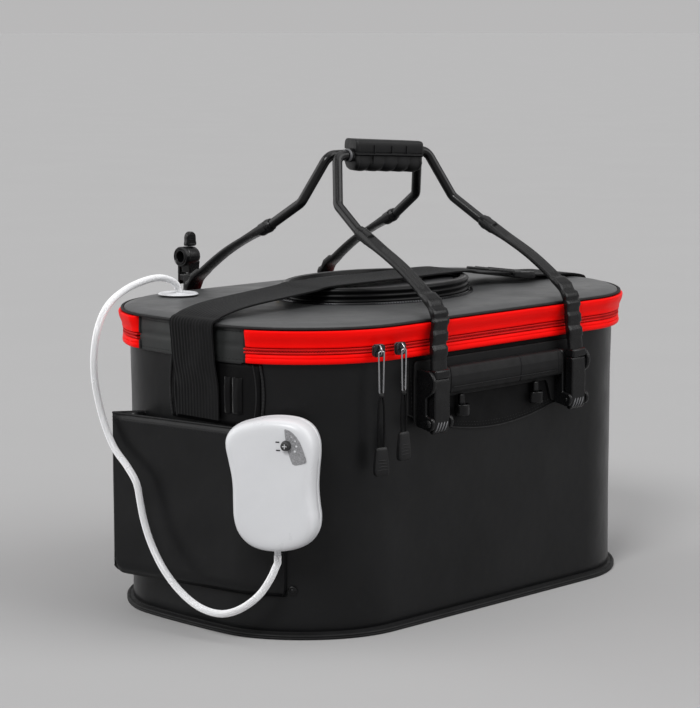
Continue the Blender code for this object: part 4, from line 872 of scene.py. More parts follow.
def build_hoses():
    joint = Vector((*GROMMET, LID_FLAT))
    outlet = nozzle_tip() - UP * GAP
    line = hose_path(joint, UP, HOSE_ROUTE, outlet, UP)[::-1]
    outer = hollow("air_line", line, "air_hose")
    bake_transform(outer)
    along = (Vector(INNER_ROUTE[-1]) - Vector(INNER_ROUTE[-2])).normalized()
    stone_at = Vector(INNER_ROUTE[-1]) + along * HOSE_RUN
    line = hose_path(joint - UP * GAP, -UP, INNER_ROUTE[:-1], stone_at, along)
    inner = hollow("inner_line", line, "inner_hose")
    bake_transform(inner)
    r, length = STONE_RADIUS, STONE_LENGTH - GAP
    stone = turned("bubble_stone", stone_at + along * GAP, along,
                   mm(0, HOSE_RADIUS, 0, 0, 0, 1.7, 3, 1.9) + mm(0, r, 3.2, -0.8, 4, -0.2, 6, 0)
                   + mm(length, r, -3, 0, -0.8, -1.2, 0, -3.2), "stone", "tub", "air_stone")
    base = LID_TOP + 0.0002
    turned("lid_grommet", (*GROMMET, 0), UP,
           mm(base, GROMMET_BORE, -8, 0) + mm(base, GROMMET_SLEEVE, -8, -0.5, -7.5, 0, 0, 0)
           + mm(base, GROMMET_FLANGE, 0, -0.6, 0.4, 0, 1, -0.2, 1.6, -1.2, 1.8, -2.6, 1.2, -4, 1.2, -10.5,
                1.6, -11.8, 2, -12.8)
           + mm(base, GROMMET_BORE, 2, 0.8, 1.6, 0), "white", "lid", "grommet", 56, closed=True)


# Tub
def build_tub():
    f, top = FLANGE_PROUD, FLOOR_TOP
    profile = mm(0, 0, -60, 0.9, -12, 0.7, -6, 0)
    profile += mm(f, 0, -1.6, 0, -0.5, 0.4, 0, 1.2, -0.1, 2.2, -0.6, 2.6, -0.1, 3, 0, 4)
    profile += mm(f, top, -0.6, -0.3, -1.4, 0, -2.8, 0, -3.3, -0.4, -3.8, 0)
    profile += mm(0, top, 1.6, 0, 0.6, 0.4, 0.5, 1.6, -0.3, 1.6, -0.3, 0.2)
    profile += mm(-WALL, top, 0, 0.2, -4, 0) + mm(0, top, -60, 0)
    skin("base_plate", [[edge(s, out, z) for s in stations()] for out, z in profile], "matt", "tub",
         "tub_floor", slot="eva", sharp=50)

    def wall_profile(s):
        x, y = edge_base(s)
        dents = []
        for z in (WALL_BOTTOM + (WALL_TOP - WALL_BOTTOM) * k / 26 for k in range(27)):
            calm = ease((WALL_TOP - 0.020 - z) / 0.05) * ease((z - 0.006) / 0.03)
            if abs(x) < 0.14:
                calm *= ease((0.185 - z) / 0.03)
            dent = 0.0011 * calm * (0.5 + ripple(x, y, z * 0.8, 0.075))
            dents.append((max(0.0, dent + 0.0004 * calm * max(0.0, ripple(x + 1, y, z, 0.030))), z))
        outer = [(-dent, z) for dent, z in dents[1:-1]]
        inner = [(-WALL - dent, z) for dent, z in dents]
        return mm(0, WALL_BOTTOM, -0.6, 0, 0, 0.8) + outer + mm(0, WALL_TOP, 0, -0.8, -0.6, 0) + inner[::-1]
    hoop("wall_skin", wall_profile, "eva", "tub", "tub_wall", sharp=50)
    hoop("rim_binding", mm(-WALL, WALL_TOP, -0.2, -6, -0.2, -5.5, -0.3, 0), "bind", "tub", slot="eva")


def build_zip():
    start, end = HINGE_HALF, PERIMETER - HINGE_FAR
    b, t, p = TAPE_BOTTOM, TAPE_TOP, TAPE_PROUD
    profile = mm(GAP, b, 0, 0.2) + mm(p, b, -3, 0, -1.2, 0.3, -0.3, 1.2, 0, 2.6)
    profile += mm(p, b + (t - b) * 0.62, -0.1, -1, -0.4, -0.3, -1.1, 0, -0.5, 0.4, -0.4, 1.2)
    profile += mm(p, t, -0.8, -0.7, -1.6, 0) + [(GAP, t)]
    hoop("lower_tape", profile, "red", "tub", "tub_zip_tape", start, end, round_end=0.008)
    b, t, p, lip = BAND_BOTTOM, BAND_TOP, BAND_PROUD, LIP_PROUD
    profile = [(GAP, b)] + mm(p, b, -1.4, 0, -0.4, 0.4, 0, 1.2, 0, 2.2)
    for share in shares(8)[1:]:
        profile.append((p + (lip - 0.0002 - p) * ease(share), b + 0.0022 + (t - 0.0050 - b) * share))
    profile += mm(lip, t, 0, -1.8, -0.3, -0.7, -1.3, 0) + mm(p, t, -0.4, -0.2) + [(GAP, t)]
    hoop("lid_edge_band", profile, "red", "lid", "lid_band", start, end, round_end=0.008)
    for name, body, node, (low, high), lean in (("lower_coil", "tub", "zip_teeth_lower", TEETH_LOW, 1),
                                                ("upper_coil", "lid", "zip_teeth_upper", TEETH_HIGH, -1)):
        pitch, half = 0.0025, 0.0009
        back, face = BAND_PROUD - 0.0024, BAND_PROUD - 0.0012
        near, far = (low, high)[::lean]
        tip = near + 0.0006 * lean
        teeth = []
        for k in range(int((end - start - 0.004) / pitch)):
            s = start + 0.002 + pitch * (k + (0.5 if lean > 0 else 0.0))
            teeth.append([edge(s + along * half, out, z) for along, out, z in (
                (-1, back, near), (1, back, near), (1, back, far), (-1, back, far),
                (-0.7, face, tip), (0.7, face, tip), (0.7, face, far), (-0.7, face, far))])
        small_boxes(name, teeth, "zip", body, sharp=40)
        a, c = (low + 0.0005, high - 0.0007) if lean > 0 else (low + 0.0007, high - 0.0005)
        flap = [(GAP, a)] + mm(face, a, 0.1, 0, 0.5, 0.5) + mm(face, (a + c) / 2, 0.6, 0)
        hoop(name + "_flap", flap + mm(face, c, 0.5, -0.5, 0.1, 0) + [(GAP, c)], "zip", body, node,
             start, end)
    for index, (s, lead) in enumerate(((start, 1), (end, -1)), 1):
        marks = sorted((s - lead * 0.0022, s + lead * 0.0016))
        for name, body, low, high, proud in (("tape_end", "tub", TAPE_BOTTOM, TAPE_TOP, TAPE_PROUD),
                                             ("band_end", "lid", BAND_BOTTOM, BAND_TOP, BAND_PROUD)):
            section = [(GAP, low - 0.0002), (proud * 0.62, low - 0.0002), (proud * 0.62, high), (GAP, high)]
            hoop("%s_%d" % (name, index), soft_outline(section, 0.0016), "bind", body, "", *marks, step=0.001,
                 round_end=0.0008)
    low, high, p = TAPE_BOTTOM, BAND_TOP, HINGE_PROUD
    rows = [(GAP, low)]
    for t in shares(14):
        fold = 0.0007 * math.exp(-((t - 0.5) / 0.07) ** 2)
        rows.append((p - 0.0008 + 0.0008 * math.sin(math.pi * t) - fold, low + (high - low) * t))
    strip_of = hoop("hinge_cloth", rows + [(GAP, high)], "hinge", None, "hinge_strip", -HINGE_FAR + GAP,
                    HINGE_HALF - GAP, step=0.005)
    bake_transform(strip_of)
    marks = stations(-HINGE_FAR + 0.004, HINGE_HALF - 0.004, 0.005)
    for name, body, z in (("hinge_seam_low", "tub", low + 0.0028), ("hinge_seam_high", "lid", high - 0.0028)):
        stitches(name, [edge(s, p - 0.0005, z) for s in marks], [edge_normal(s) for s in marks], body)
    tube("hinge_hem", [edge(s, p - 0.0012, low - 0.0006) for s in marks], 0.0010, "bind", "tub", segments=8)


# Lid
def hatch_point(angle, out, z):
    return Vector((HATCH_X + (HATCH_A + out) * math.cos(angle),
                   HATCH_Y + (HATCH_B + out) * math.sin(angle), z))


def hatch_ring(out, z, segments=112):
    return [hatch_point(2 * math.pi * k / segments, out, z) for k in range(segments)]


def lid_height(inward):
    near = min(1.0, inward / EDGE_ROUND)
    return LID_EDGE + EDGE_RISE * (1 - (1 - near) ** 2)


def build_lid():
    marks = stations(step=0.007)

    def ring(out, z):
        return [edge(s, PANEL_PROUD + out, z) for s in marks]

    def ring_angle(s):
        x, y = edge_bulged(s)
        return math.atan2((y - HATCH_Y) / HATCH_B, (x - HATCH_X) / HATCH_A)
    angles = [ring_angle(s) for s in marks]
    rings = [ring(out, z) for out, z in mm(0, PANEL_BOTTOM, -0.4, 0, 0, 0.4) + [(0, LID_EDGE - 0.0007)]]
    for inset in (0.0005, 0.002, 0.004, 0.0065, 0.009, 0.0115, EDGE_ROUND, 0.018):
        rings.append(ring(-inset, lid_height(inset)))
    for share in (0.08, 0.18, 0.3, 0.42, 0.54, 0.66, 0.78, 0.9, 1.0):
        row = []
        for s, angle in zip(marks, angles):
            point = edge(s, PANEL_PROUD - 0.018, 0).lerp(hatch_point(angle, 0.006, 0), share)
            sag = 0.0008 * math.sin(math.pi * share) * (0.6 + ripple(point.x, point.y, 0, 0.07))
            point.z = LID_FLAT + DOME_RISE * share - max(0.0, sag)
            row.append(point)
        rings.append(row)
    for out, z in ((-HATCH_WALL - 0.006, LID_TOP), (-HATCH_WALL - 0.006, LID_TOP - PANEL),
                   (0.006, LID_TOP - PANEL)):
        rings.append([hatch_point(a, out, z) for a in angles])
    rings += [ring(-0.018, LID_FLAT - PANEL), ring(-0.004, lid_height(0.004) - PANEL)]
    lid = skin("lid_skin", rings, "lid", "lid", "lid_panel", closed=True, sharp=50)
    cut(lid, turned("lid_drill", (*GROMMET, LID_FLAT), UP, mm(0, GROMMET_SLEEVE, -20, 0.4, 20, 0.4),
                    "lid", None))
    centre = PANEL_PROUD + GAP + PIPING_RADIUS
    cord = around(Vector((centre, PANEL_BOTTOM + PIPING_RADIUS)), Vector((1, 0)), Vector((0, 1)),
                  PIPING_RADIUS, 10)
    hoop("edge_piping", cord, "bind", "lid", "lid_piping", sharp=80)

    section = mm(0, COLLAR_BOTTOM, -1000 * HATCH_WALL, 0, -0.6, 0)
    pitch = (COLLAR_TOP - COLLAR_BOTTOM) / RIDGES
    for i in range(RIDGES):
        for t in (0.06, 0.16, 0.30, 0.45, 0.60, 0.74, 0.86, 0.95):
            section.append((RIDGE * math.sin(math.pi * t) ** 0.8, COLLAR_BOTTOM + (i + t) * pitch))
    section += [(-0.0004, COLLAR_TOP)] + mm(-HATCH_WALL, COLLAR_TOP, 0.5, 0, 0, -0.6)
    skin("hatch_wall", [hatch_ring(out, z) for out, z in section], "collar", "lid", "hatch_collar",
         closed=True, sharp=50)
    for name, out, z, radius in (("hatch_piping", -0.0010, COLLAR_TOP - 0.0014, 0.0017),
                                 ("hatch_foot_piping", 0.0042, COLLAR_BOTTOM + 0.0006, 0.0012)):
        tube(name, hatch_ring(out, z), radius, "piping", "lid", segments=10, closed=True)
    teeth = []
    for angle in (2 * math.pi * (k + 0.5) / 230 for k in range(230)):
        mid = hatch_point(angle, 0.0062, COLLAR_BOTTOM + 0.0004)
        ahead = (hatch_point(angle + 0.01, 0.0062, 0) - hatch_point(angle - 0.01, 0.0062, 0)).normalized()
        across = ahead.cross(UP)
        teeth.append([mid + ahead * a * 0.0008 + across * c * scale * 0.0016 + UP * z
                      for z, scale in ((0, 1), (0.0011, 0.6)) for a, c in oblong(1, 1)])
    small_boxes("hatch_coil", teeth, "gun", "lid", sharp=40)
    inside, top = -HATCH_WALL - GAP, COLLAR_TOP - COVER_SUNK
    section = mm(inside, top, -4, -2, 0, -1.6, 0, -0.4, -0.8, 0, -5, 0, -5.8, -0.7, -6.6, 0, -9, 0.6, -20, 1,
                 -42, 0.4, -60, 0.1)
    skin("hatch_panel", [hatch_ring(out, z) for out, z in section], "cover", "lid", "hatch_cover", sharp=50)
    seam = hatch_ring(inside - 0.0036, top + 0.00015)
    stitches("hatch_stitching", seam + seam[:1], UP, "lid")
    mesh_top = COLLAR_BOTTOM + 0.0026
    threads = []
    pitch, half = 0.0065, 0.0005
    for a, b, low in ((HATCH_A, HATCH_B, mesh_top - 0.0010), (HATCH_B, HATCH_A, mesh_top - 0.0005)):
        a, b = a + inside - 0.0003, b + inside - 0.0003
        for off in (k * pitch for k in range(-int(b / pitch), int(b / pitch) + 1)):
            reach = a * bow(off / b)
            if reach < 0.01:
                continue
            ends = [(u, off + c, z) for u in (-reach, reach)
                    for c, z in ((-half, low), (half, low), (half, low + 0.0006), (-half, low + 0.0006))]
            threads.append([(HATCH_X + (u if a > b else v), HATCH_Y + (v if a > b else u), z)
                            for u, v, z in ends])
    small_boxes("hatch_net", threads, "bind", "lid", "hatch_mesh", slot="webbing")
    tube("hatch_net_hem", hatch_ring(inside - 0.0011, mesh_top - 0.0004), 0.0009, "bind", "lid",
         segments=8, closed=True, slot="webbing")

    low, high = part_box("hatch_slider")
    mid = (low + high) / 2
    turn = math.radians(70)
    block("hatch_runner_body", mid - UP * 0.0012, (0.0072, 0.0058, 0.0032), "brass", "hatch_runner",
          "hatch_slider", turn=turn, taper=0.86)
    spin = Matrix.Rotation(turn, 3, "Z")
    bridge = [mid + spin @ Vector((x, 0, z))
              for x, z in mm(0, 0, -2.6, 0.2, -2.2, 2.2, 0, 3, 2.2, 2.2, 2.6, 0.2)]
    tube("hatch_runner_bridge", smooth_path(bridge, 0.0006), 0.0007, "brass", "hatch_runner", segments=8)
    leaf = [mid + spin @ Vector((0, y, z)) for y, z in mm(0, 0, 0.6, 2.4, 4, 1.2, 8.5, -1, 12, -2.2)]
    strip("hatch_runner_pull", smooth_path(leaf, 0.0010), spin @ Vector((1, 0, 0)),
          soft_outline(oblong(0.0022, 0.0004), 0.0003, 2), "steel", "hatch_runner")


# Handles
def leg_path(x, sign, step=0.0024):
    """A leg from its clip's top, up past the band and over the lid's edge to the bail's tube."""
    out = WIDTH / 2 + LIP_PROUD + LEG_CLEAR + LEG_THICK / 2
    clip_top = PIN_Z + CLIP_TOP
    sx, sy, sz = SLEEVE
    points = [(LEG_X, PIN_Y, clip_top - 0.004), (LEG_X - 0.0005, out + 0.002, clip_top + 0.008),
              (LEG_X - 0.002, out, BAND_BOTTOM), (RIM_X, out, LID_EDGE - 0.001),
              (RIM_X - 0.0005, out - 0.005, LID_EDGE + RIM_CLEAR),
              (RIM_X - 0.001, out - 0.016, LID_EDGE + RIM_CLEAR + 0.0095),
              ((RIM_X + sx) / 2, (out + sy) / 2, (LID_EDGE + BAND_TOP + sz) / 2 + 0.0095),
              (sx, sy, BAND_TOP + sz)]
    return smooth_path([(x * px, sign * py, pz) for px, py, pz in points], step)


def build_leg(side, sign, x, hand):
    body = side + "_handle"
    name = "%s_%s" % (side, hand)
    path = leg_path(x, sign)
    pads = mm(0, 0, 266.5, 4, 280.8, 4.6, 294.6, 3, 302.8, 3.4, 315, 4)

    def section(t, point):
        rise = 0.0
        if t < 0.5:
            rise = max((WAVE + 0.0006) * ease((half - abs(point.z - z)) / 0.0009 + 0.5) for z, half in pads)
        late = ease((t - 0.80) / 0.2)
        w = (LEG_WIDTH - 0.001 + rise * 0.6) / 2 * (1 - 0.16 * ease((t - 0.34) / 0.14) - 0.14 * late)
        h = LEG_THICK / 2 * (1 + 0.9 * late)
        outer = h + rise
        rib = 0.0004 * ease((t - 0.42) / 0.06) * (1 - late)
        r, near = 0.0011, 0.0011 * 0.3
        pts = [(-w + r, -h), (w - r, -h), (w - near, -h + near), (w, -h + r), (w, outer - r),
               (w - near, outer - near), (w - r, outer), (w * 0.62, outer - rib), (w * 0.36, outer + rib),
               (w * 0.12, outer - rib), (-w * 0.12, outer + rib), (-w * 0.36, outer - rib),
               (-w * 0.62, outer + rib), (-w + r, outer), (-w + near, outer - near), (-w, outer - r),
               (-w, -h + r), (-w + near, -h + near)]
        return [(a, b * x * sign) for a, b in pts]
    strip(name + "_flex", path, (x, 0, 0), section, "plastic", body, "%s_leg_%s" % (side, hand), 40)
    away = (path[-1] - path[-2]).normalized()
    turned(name + "_socket", path[-1] - away * 0.012, away,
           mm(0, 0, 0, 5, 0.5, 6.2, 2, 6.6, 10, 6.6, 10.5, 7, 13.5, 7, 14, 6.4, 17.2, 6.2, 18, 5.6, 18, 5.1),
           "plastic", body, segments=24)

    half, foot = CLIP_THICK / 2, PIN_BOSS - 0.001
    outline = mm(half, CLIP_TOP, -1.2, -8.5, 0, -12) + [(half, 0.0)]
    outline += arc(0, 0, half, -foot, 0, 180, 16)[1:-1] + [(-half, 0.0), (-half, CLIP_TOP - 0.0085)]
    wide = LEG_WIDTH / 2
    mid = x * LEG_X
    prism(name + "_clip", [(sign * (PIN_Y + y), PIN_Z + z) for y, z in outline], "YZ", mid - wide, mid + wide,
          "plastic", body, bevel=0.0013, segments=3)
    block(name + "_clip_collar", (mid, sign * PIN_Y, PIN_Z + CLIP_TOP - 0.0045),
          (LEG_WIDTH + 0.0002, 0.0118, 0.0088), "plastic", body, bevel=0.0022, segments=4)
    # The ridges are the clip's own plastic, painted in the lighter grey look: painted highlights along the ridges
    for k in range(4):
        foot_x = mid + sign * (wide - 0.0052 - 0.0041 * k)
        stroke = []
        for t in shares(7):
            z = 0.0010 - 0.0088 * t
            depth = half * bow(clamp(-z / foot))
            stroke.append((foot_x + sign * 0.0034 * t, sign * (PIN_Y + depth + 0.0001), PIN_Z + z))
        tube("%s_ridge_%d" % (name, k + 1), stroke,
             lambda t: 0.0004 + 0.0004 * math.sin(math.pi * clamp(t)) ** 0.4, "grey", body, segments=8,
             slot="plastic")


def patch_low(x):
    return TAPE_BOTTOM - PATCH_DROP + PATCH_RISE * (x / PATCH_HALF) ** 2


def build_patch(side, sign):
    face = WIDTH / 2 + GAP
    proud = sign * (face + PATCH)
    top = TAPE_BOTTOM - 0.0005
    lower = [PATCH_HALF * (2 * t - 1) for t in shares(40)]
    outline = [(PATCH_HALF, top), (-PATCH_HALF, top)] + [(u, patch_low(u)) for u in lower]
    # The patch takes dark_sheet, darker than the walls' EVA: painted shade, for the red band's shadow over it
    prism(side + "_patch_sheet", outline, "XZ", *sorted((sign * face, proud)), "dark", "tub",
          side + "_patch", 0.0006, 3)
    brim = [(-PATCH_HALF, proud, top - 0.002)] + [(u, proud, patch_low(u) + 0.0004) for u in lower]
    tube(side + "_patch_brim", brim + [(PATCH_HALF, proud, top - 0.002)], 0.0009, "bind", "tub", segments=8)
    for name, inset in (("outer", 0.0035), ("inner", 0.0065)):
        seam = [(-PATCH_HALF + inset, top - 0.004)]
        seam += [(u, patch_low(u) + inset) for u in lower if abs(u) < PATCH_HALF - inset]
        seam += [(PATCH_HALF - inset, top - 0.004)]
        stitches("%s_patch_seam_%s" % (side, name), [(u, sign * (face + PATCH + 0.0001), z) for u, z in seam],
                 (0, sign, 0), "tub")


def build_bracket(side, sign):
    build_patch(side, sign)
    root = WIDTH / 2 + GAP + PATCH + GAP
    reach = LEG_X + LEG_WIDTH / 2 + EAR_GAP + EAR + 0.003
    bar_top = TAPE_BOTTOM - BAR_DROP
    foot, head = PIN_Z - 0.002, bar_top + 0.008
    inner = LEG_X - LEG_WIDTH / 2 - EAR_GAP - EAR
    outline = [(reach, head), (-reach, head), (-reach, foot)] + mm(-inner, foot, 4, 0, 12, 22)
    outline += mm(inner, foot, -12, 22, -4, 0) + [(reach, foot)]
    prism(side + "_plate", soft_outline(outline, 0.004), "XZ", *sorted((sign * root, sign * (root + PLATE))),
          "matt", "tub", side + "_bracket", 0.0008, 3)
    h = BAR_HEIGHT / 2
    bar_z = bar_top - h
    wall_y = root + PLATE - 0.001
    y1 = wall_y + BAR_PROUD
    seam = 0.022
    stops = [-inner + d for d in (0.0, 0.0012, 0.006, 0.0068, 0.0076)]
    stops += [-0.06, -0.02, seam - 0.0012, seam - 0.0004, seam + 0.0004, seam + 0.0012, 0.05]
    rings = []
    for u in stops + [-s for s in stops[4::-1]]:
        dip = 0.0
        if abs(u - seam) < 0.0006 or abs(abs(u) - (inner - 0.0068)) < 0.0002:
            dip = 0.0007
        if abs(abs(u) - inner) < 0.0001:
            dip = 0.0012
        crest = y1 - dip + 0.0006 * (1 - (u / inner) ** 2) - 0.0003
        section = [(wall_y, bar_z - h + dip), (y1 - dip - 0.0012, bar_z - h + dip + 0.001),
                   (crest, bar_z - 0.002), (crest, bar_z + 0.004), (y1 - dip - 0.0022, bar_z + h - dip),
                   (wall_y, bar_z + h - dip)]
        rings.append([(u, sign * v, z) for v, z in soft_outline(section, 0.0032, 3)])
    skin(side + "_bar", rings, "matt", "tub", sharp=40)
    line = [(u, sign * (y1 + 0.0002), bar_z - 0.0065)
            for u in (-inner + 0.009, -0.04, 0.0, 0.04, inner - 0.009)]
    tube(side + "_bar_line", line, 0.0005, "plastic", "tub", segments=6)
    for x, hand, tag in ((-1, "left", 1), (1, "right", 2)):
        for index, place in enumerate((inner, LEG_X + LEG_WIDTH / 2 + EAR_GAP)):
            waist = PIN_Y - (0.0030 if index else 0.0045)
            outline = [(wall_y, bar_top)]
            if index:
                outline += arc(PIN_Y - 0.0030, bar_top - 0.0125, 0.0105, 0.0125, 90, -64.8, 8)
            else:
                outline += mm(waist, bar_top, -3, 0, -0.5, -2.5)
            outline += [(waist, bar_top - 0.027), (waist, PIN_Z + 0.0075)]
            outline += arc(PIN_Y, PIN_Z, 0.0064, 0.0072, 54, -117, 11) + [(wall_y, PIN_Z - 0.004)]
            prism("%s_ear_%d_%d" % (side, tag, index + 1), [(sign * y, z) for y, z in outline], "YZ",
                  *sorted((x * place, x * (place + EAR))), "plastic", "tub", bevel=0.0011, segments=3)
        end = LEG_X + LEG_WIDTH / 2 + EAR_GAP + EAR + GAP - inner + 0.001
        turned("%s_pin_%s_turned" % (side, hand), (x * (inner - 0.001), sign * PIN_Y, PIN_Z), (x, 0, 0),
               mm(0, 0, 0, 1.6, 0.6, 2.2) + mm(end, 0, 0, 2.2)
               + mm(end, PIN_HEAD, 0, -0.3, 0.3, 0, 1.1, -0.3, 1.8, -1.4) + mm(end, 0, 2, 1.2, 1.4, 1),
               "paint", "tub", "%s_pin_%s" % (side, hand), 24)
        hx, hz, y = x * (inner - 0.032), bar_z - 0.031, sign * (root + PLATE)
        block("%s_hook_peg_%d" % (side, tag), (hx, y + sign * 0.0016, hz + 0.0065), (0.0075, 0.0040, 0.016),
              "plastic", "tub", bevel=0.0014)
        cup = arc(0, sign * 0.0008, 0.0072 * 1.12, sign * 0.0072 * 1.15, 0, 180, 14)
        rows = [[(hx + u * scale, y + v * scale, hz + z) for u, v in cup]
                for z, scale in ((-0.0062, 0.05), (-0.0062, 0.5), (-0.0062, 0.90), (-0.0056, 0.97),
                                 (-0.003, 1.0), (0.0035, 1.0), (0.0043, 0.985))]
        sheet_of("%s_hook_cup_%d" % (side, tag), rows, "plastic", "tub", 0.0016)


def build_bail(side, sign):
    ends = leg_path(1, sign, 0.0052)
    away = (ends[-1] - ends[-2]).normalized()
    kx, ky, kz = KNEE
    half = [ends[-1] + away * GAP, ends[-1] + away * TUBE_START, Vector((kx, sign * ky, BAND_TOP + kz)),
            Vector((SHOULDER_X, sign * (TUBE_RADIUS + BAR_GAP / 2), BAND_TOP + BAR_Z))]
    path = rounded_path(half + [Vector((-p.x, p.y, p.z)) for p in half[::-1]], BEND_RADIUS, 10)
    fine = []
    for a, b in zip(path, path[1:]):
        parts = max(1, int((b - a).length / 0.012))
        fine += [a.lerp(b, t) for t in shares(parts)[:-1]]
    tube(side + "_bail_tube", fine + [path[-1]], TUBE_RADIUS, "paint", side + "_handle", side + "_bail", 22,
         slot="black_steel")
    build_leg(side, sign, -1, "left")
    build_leg(side, sign, 1, "right")


def build_grip():
    bar_z = BAND_TOP + BAR_Z
    reach = 2 * TUBE_RADIUS + BAR_GAP / 2
    room = TUBE_RADIUS + 0.0006
    outer = reach + GRIP_WALL
    rings = []
    steps = 96
    low_x, high_x = -GRIP_HALF + GRIP_CORE, GRIP_HALF
    for k in range(steps + 1):
        x = low_x + (high_x - low_x) * k / steps
        near = min(k, steps - k) * (high_x - low_x) / steps
        taper = 0.0014 * (1 - bow(1 - min(1.0, near / 0.0025)))
        hollowed = 1 - abs(math.sin(math.pi * (GRIP_FINGERS + 1) * k / steps)) ** 0.6
        seam = bar_z - GRIP_LEAN * (1 + x / GRIP_HALF)
        low = seam - TUBE_RADIUS - GRIP_BELLY + FINGER_DEPTH * hollowed + taper
        high = seam + TUBE_RADIUS + GRIP_TOP - taper
        flange = 0.0007 if min(k, steps - k) <= 4 else 0.0
        left = -outer + taper - flange * 0.5
        belly = left + 0.0022 + 0.0010 * hollowed - flange
        right = outer - taper
        section = [(right, bar_z + room)] + mm(right, high, 0, -6, -1.2, -2.6)
        section += mm(outer, high, -3.8, -0.6, -6.6, 0) + [(0.0, high)] + mm(-outer, high, 4.8, 0, 2.6, -0.5)
        section += mm(left, high, 1, -1.6, 0.4, -3, 0.3, -6)
        section += mm(left, seam, 0.3, 4.8, 0.6, 4.2, 1.6, 3.8, 1.4, 3.2, 0, 2.6, -0.1, 1.8, 0.4, 1, 2, 0.2)
        section += mm(belly, seam, 0, -2.4, -0.6, -6) + mm(belly, low, 0.6, 5, 3, 1.8)
        section.append((left + 0.0092, low))
        section += mm(outer, low, -9.2, 0, -4.6, 1.4) + [(right - 0.0014, low + 0.0044)]
        section += [(right, bar_z - TUBE_RADIUS - 0.003), (right, bar_z - room),
                    (outer - 0.002, bar_z - room), (-reach - 0.0006, bar_z - room),
                    (-reach - 0.0006, bar_z + room), (outer - 0.002, bar_z + room)]
        slant = GRIP_SLANT * max(0.0, 1 - (x - low_x) / GRIP_SLANT_RUN) / outer
        rings.append([(x + slant * y, y, z) for y, z in section])
    skin("grip_sleeve", rings, "rubber", "front_handle", "grip", sharp=38)
    for k, (x, foot) in enumerate(((-0.0215, -0.0080), (0.0042, 0.0034), (0.0262, 0.0034))):
        path = mm(-outer, bar_z - GRIP_LEAN * (1 + x / GRIP_HALF), -0.1, 11.2, -0.1, 9, -0.1, 6, -0.1, 3.4)
        if foot < 0:
            path += mm(-outer, bar_z - GRIP_LEAN * (1 + x / GRIP_HALF), 1.6, -0.4, 2, 1000 * foot)
        tube("grip_rib_%d" % (k + 1), [(x, y, z) for y, z in path], 0.0007, "rubber", "front_handle",
             segments=8)
    for name, x, way, look, segments, closed, profile in (
            ("grip_core", low_x + 0.001, -1, "rubber", 30, False,
             (0, 5.4, 0, 6.6, 3, 6.9, 4.5, 6.6, 6, 6.9, 9, 6.9, 10, 6.8, 10.2, 5.4)),
            ("grip_eye", low_x - 0.0098, -1, "grey", 30, True,
             (0, 5.2, 0, 6.8, 1.2, 6.9, 2, 6.5, 2.3, 5.8, 2.1, 5.2)),
            ("grip_collar_right", GRIP_HALF, 1, "rubber", 24, False,
             (-2, 5.4, -2, 6.2, 0, 6.8, 3, 6.8, 4.2, 6, 4.4, 5.1))):
        turned(name, (x, -(TUBE_RADIUS + BAR_GAP / 2), bar_z), (way, 0, 0), mm(0, 0, *profile), look,
               "front_handle", "", segments, closed)


# Shoulder strap
def strap_profile():
    left, right, over = HINGE_X + 0.0015, END_X + 0.004, COLLAR_TOP + GAP + STRAP / 2
    points = mm(left, LID_EDGE, 0, 4) + mm(left, LID_FLAT, 12, 4.5, 45, 10)
    points += mm(HATCH_X - HATCH_A, over, -16, -2, 10, 0.6) + mm(HATCH_X, over, 0, 0.6)
    points += mm(HATCH_X + HATCH_A, over, -12, 0.6, 14, -3) + mm(ADJUSTER_X, over, -24, -6.8, 24, -12.2)
    return points + mm(right, LID_FLAT, -18, 3.4) + mm(right, LID_EDGE, 0, 4.5)


def web_section():
    """A webbing's section: soft ribs on both faces and round edges."""
    ribs, steps = 14, 84
    top = []
    for u in (2 * t - 1 for t in shares(steps)):
        lift = STRAP / 2 * (0.55 + 0.45 * abs(math.cos(math.pi * ribs * (u + 1) / 2)) ** 0.7)
        lift *= bow(max(0.0, (abs(u) - 0.97) / 0.03)) * 0.92 + 0.08
        top.append((u * STRAP_WIDTH / 2, lift))
    return top + [(a, -b) for a, b in reversed(top)]


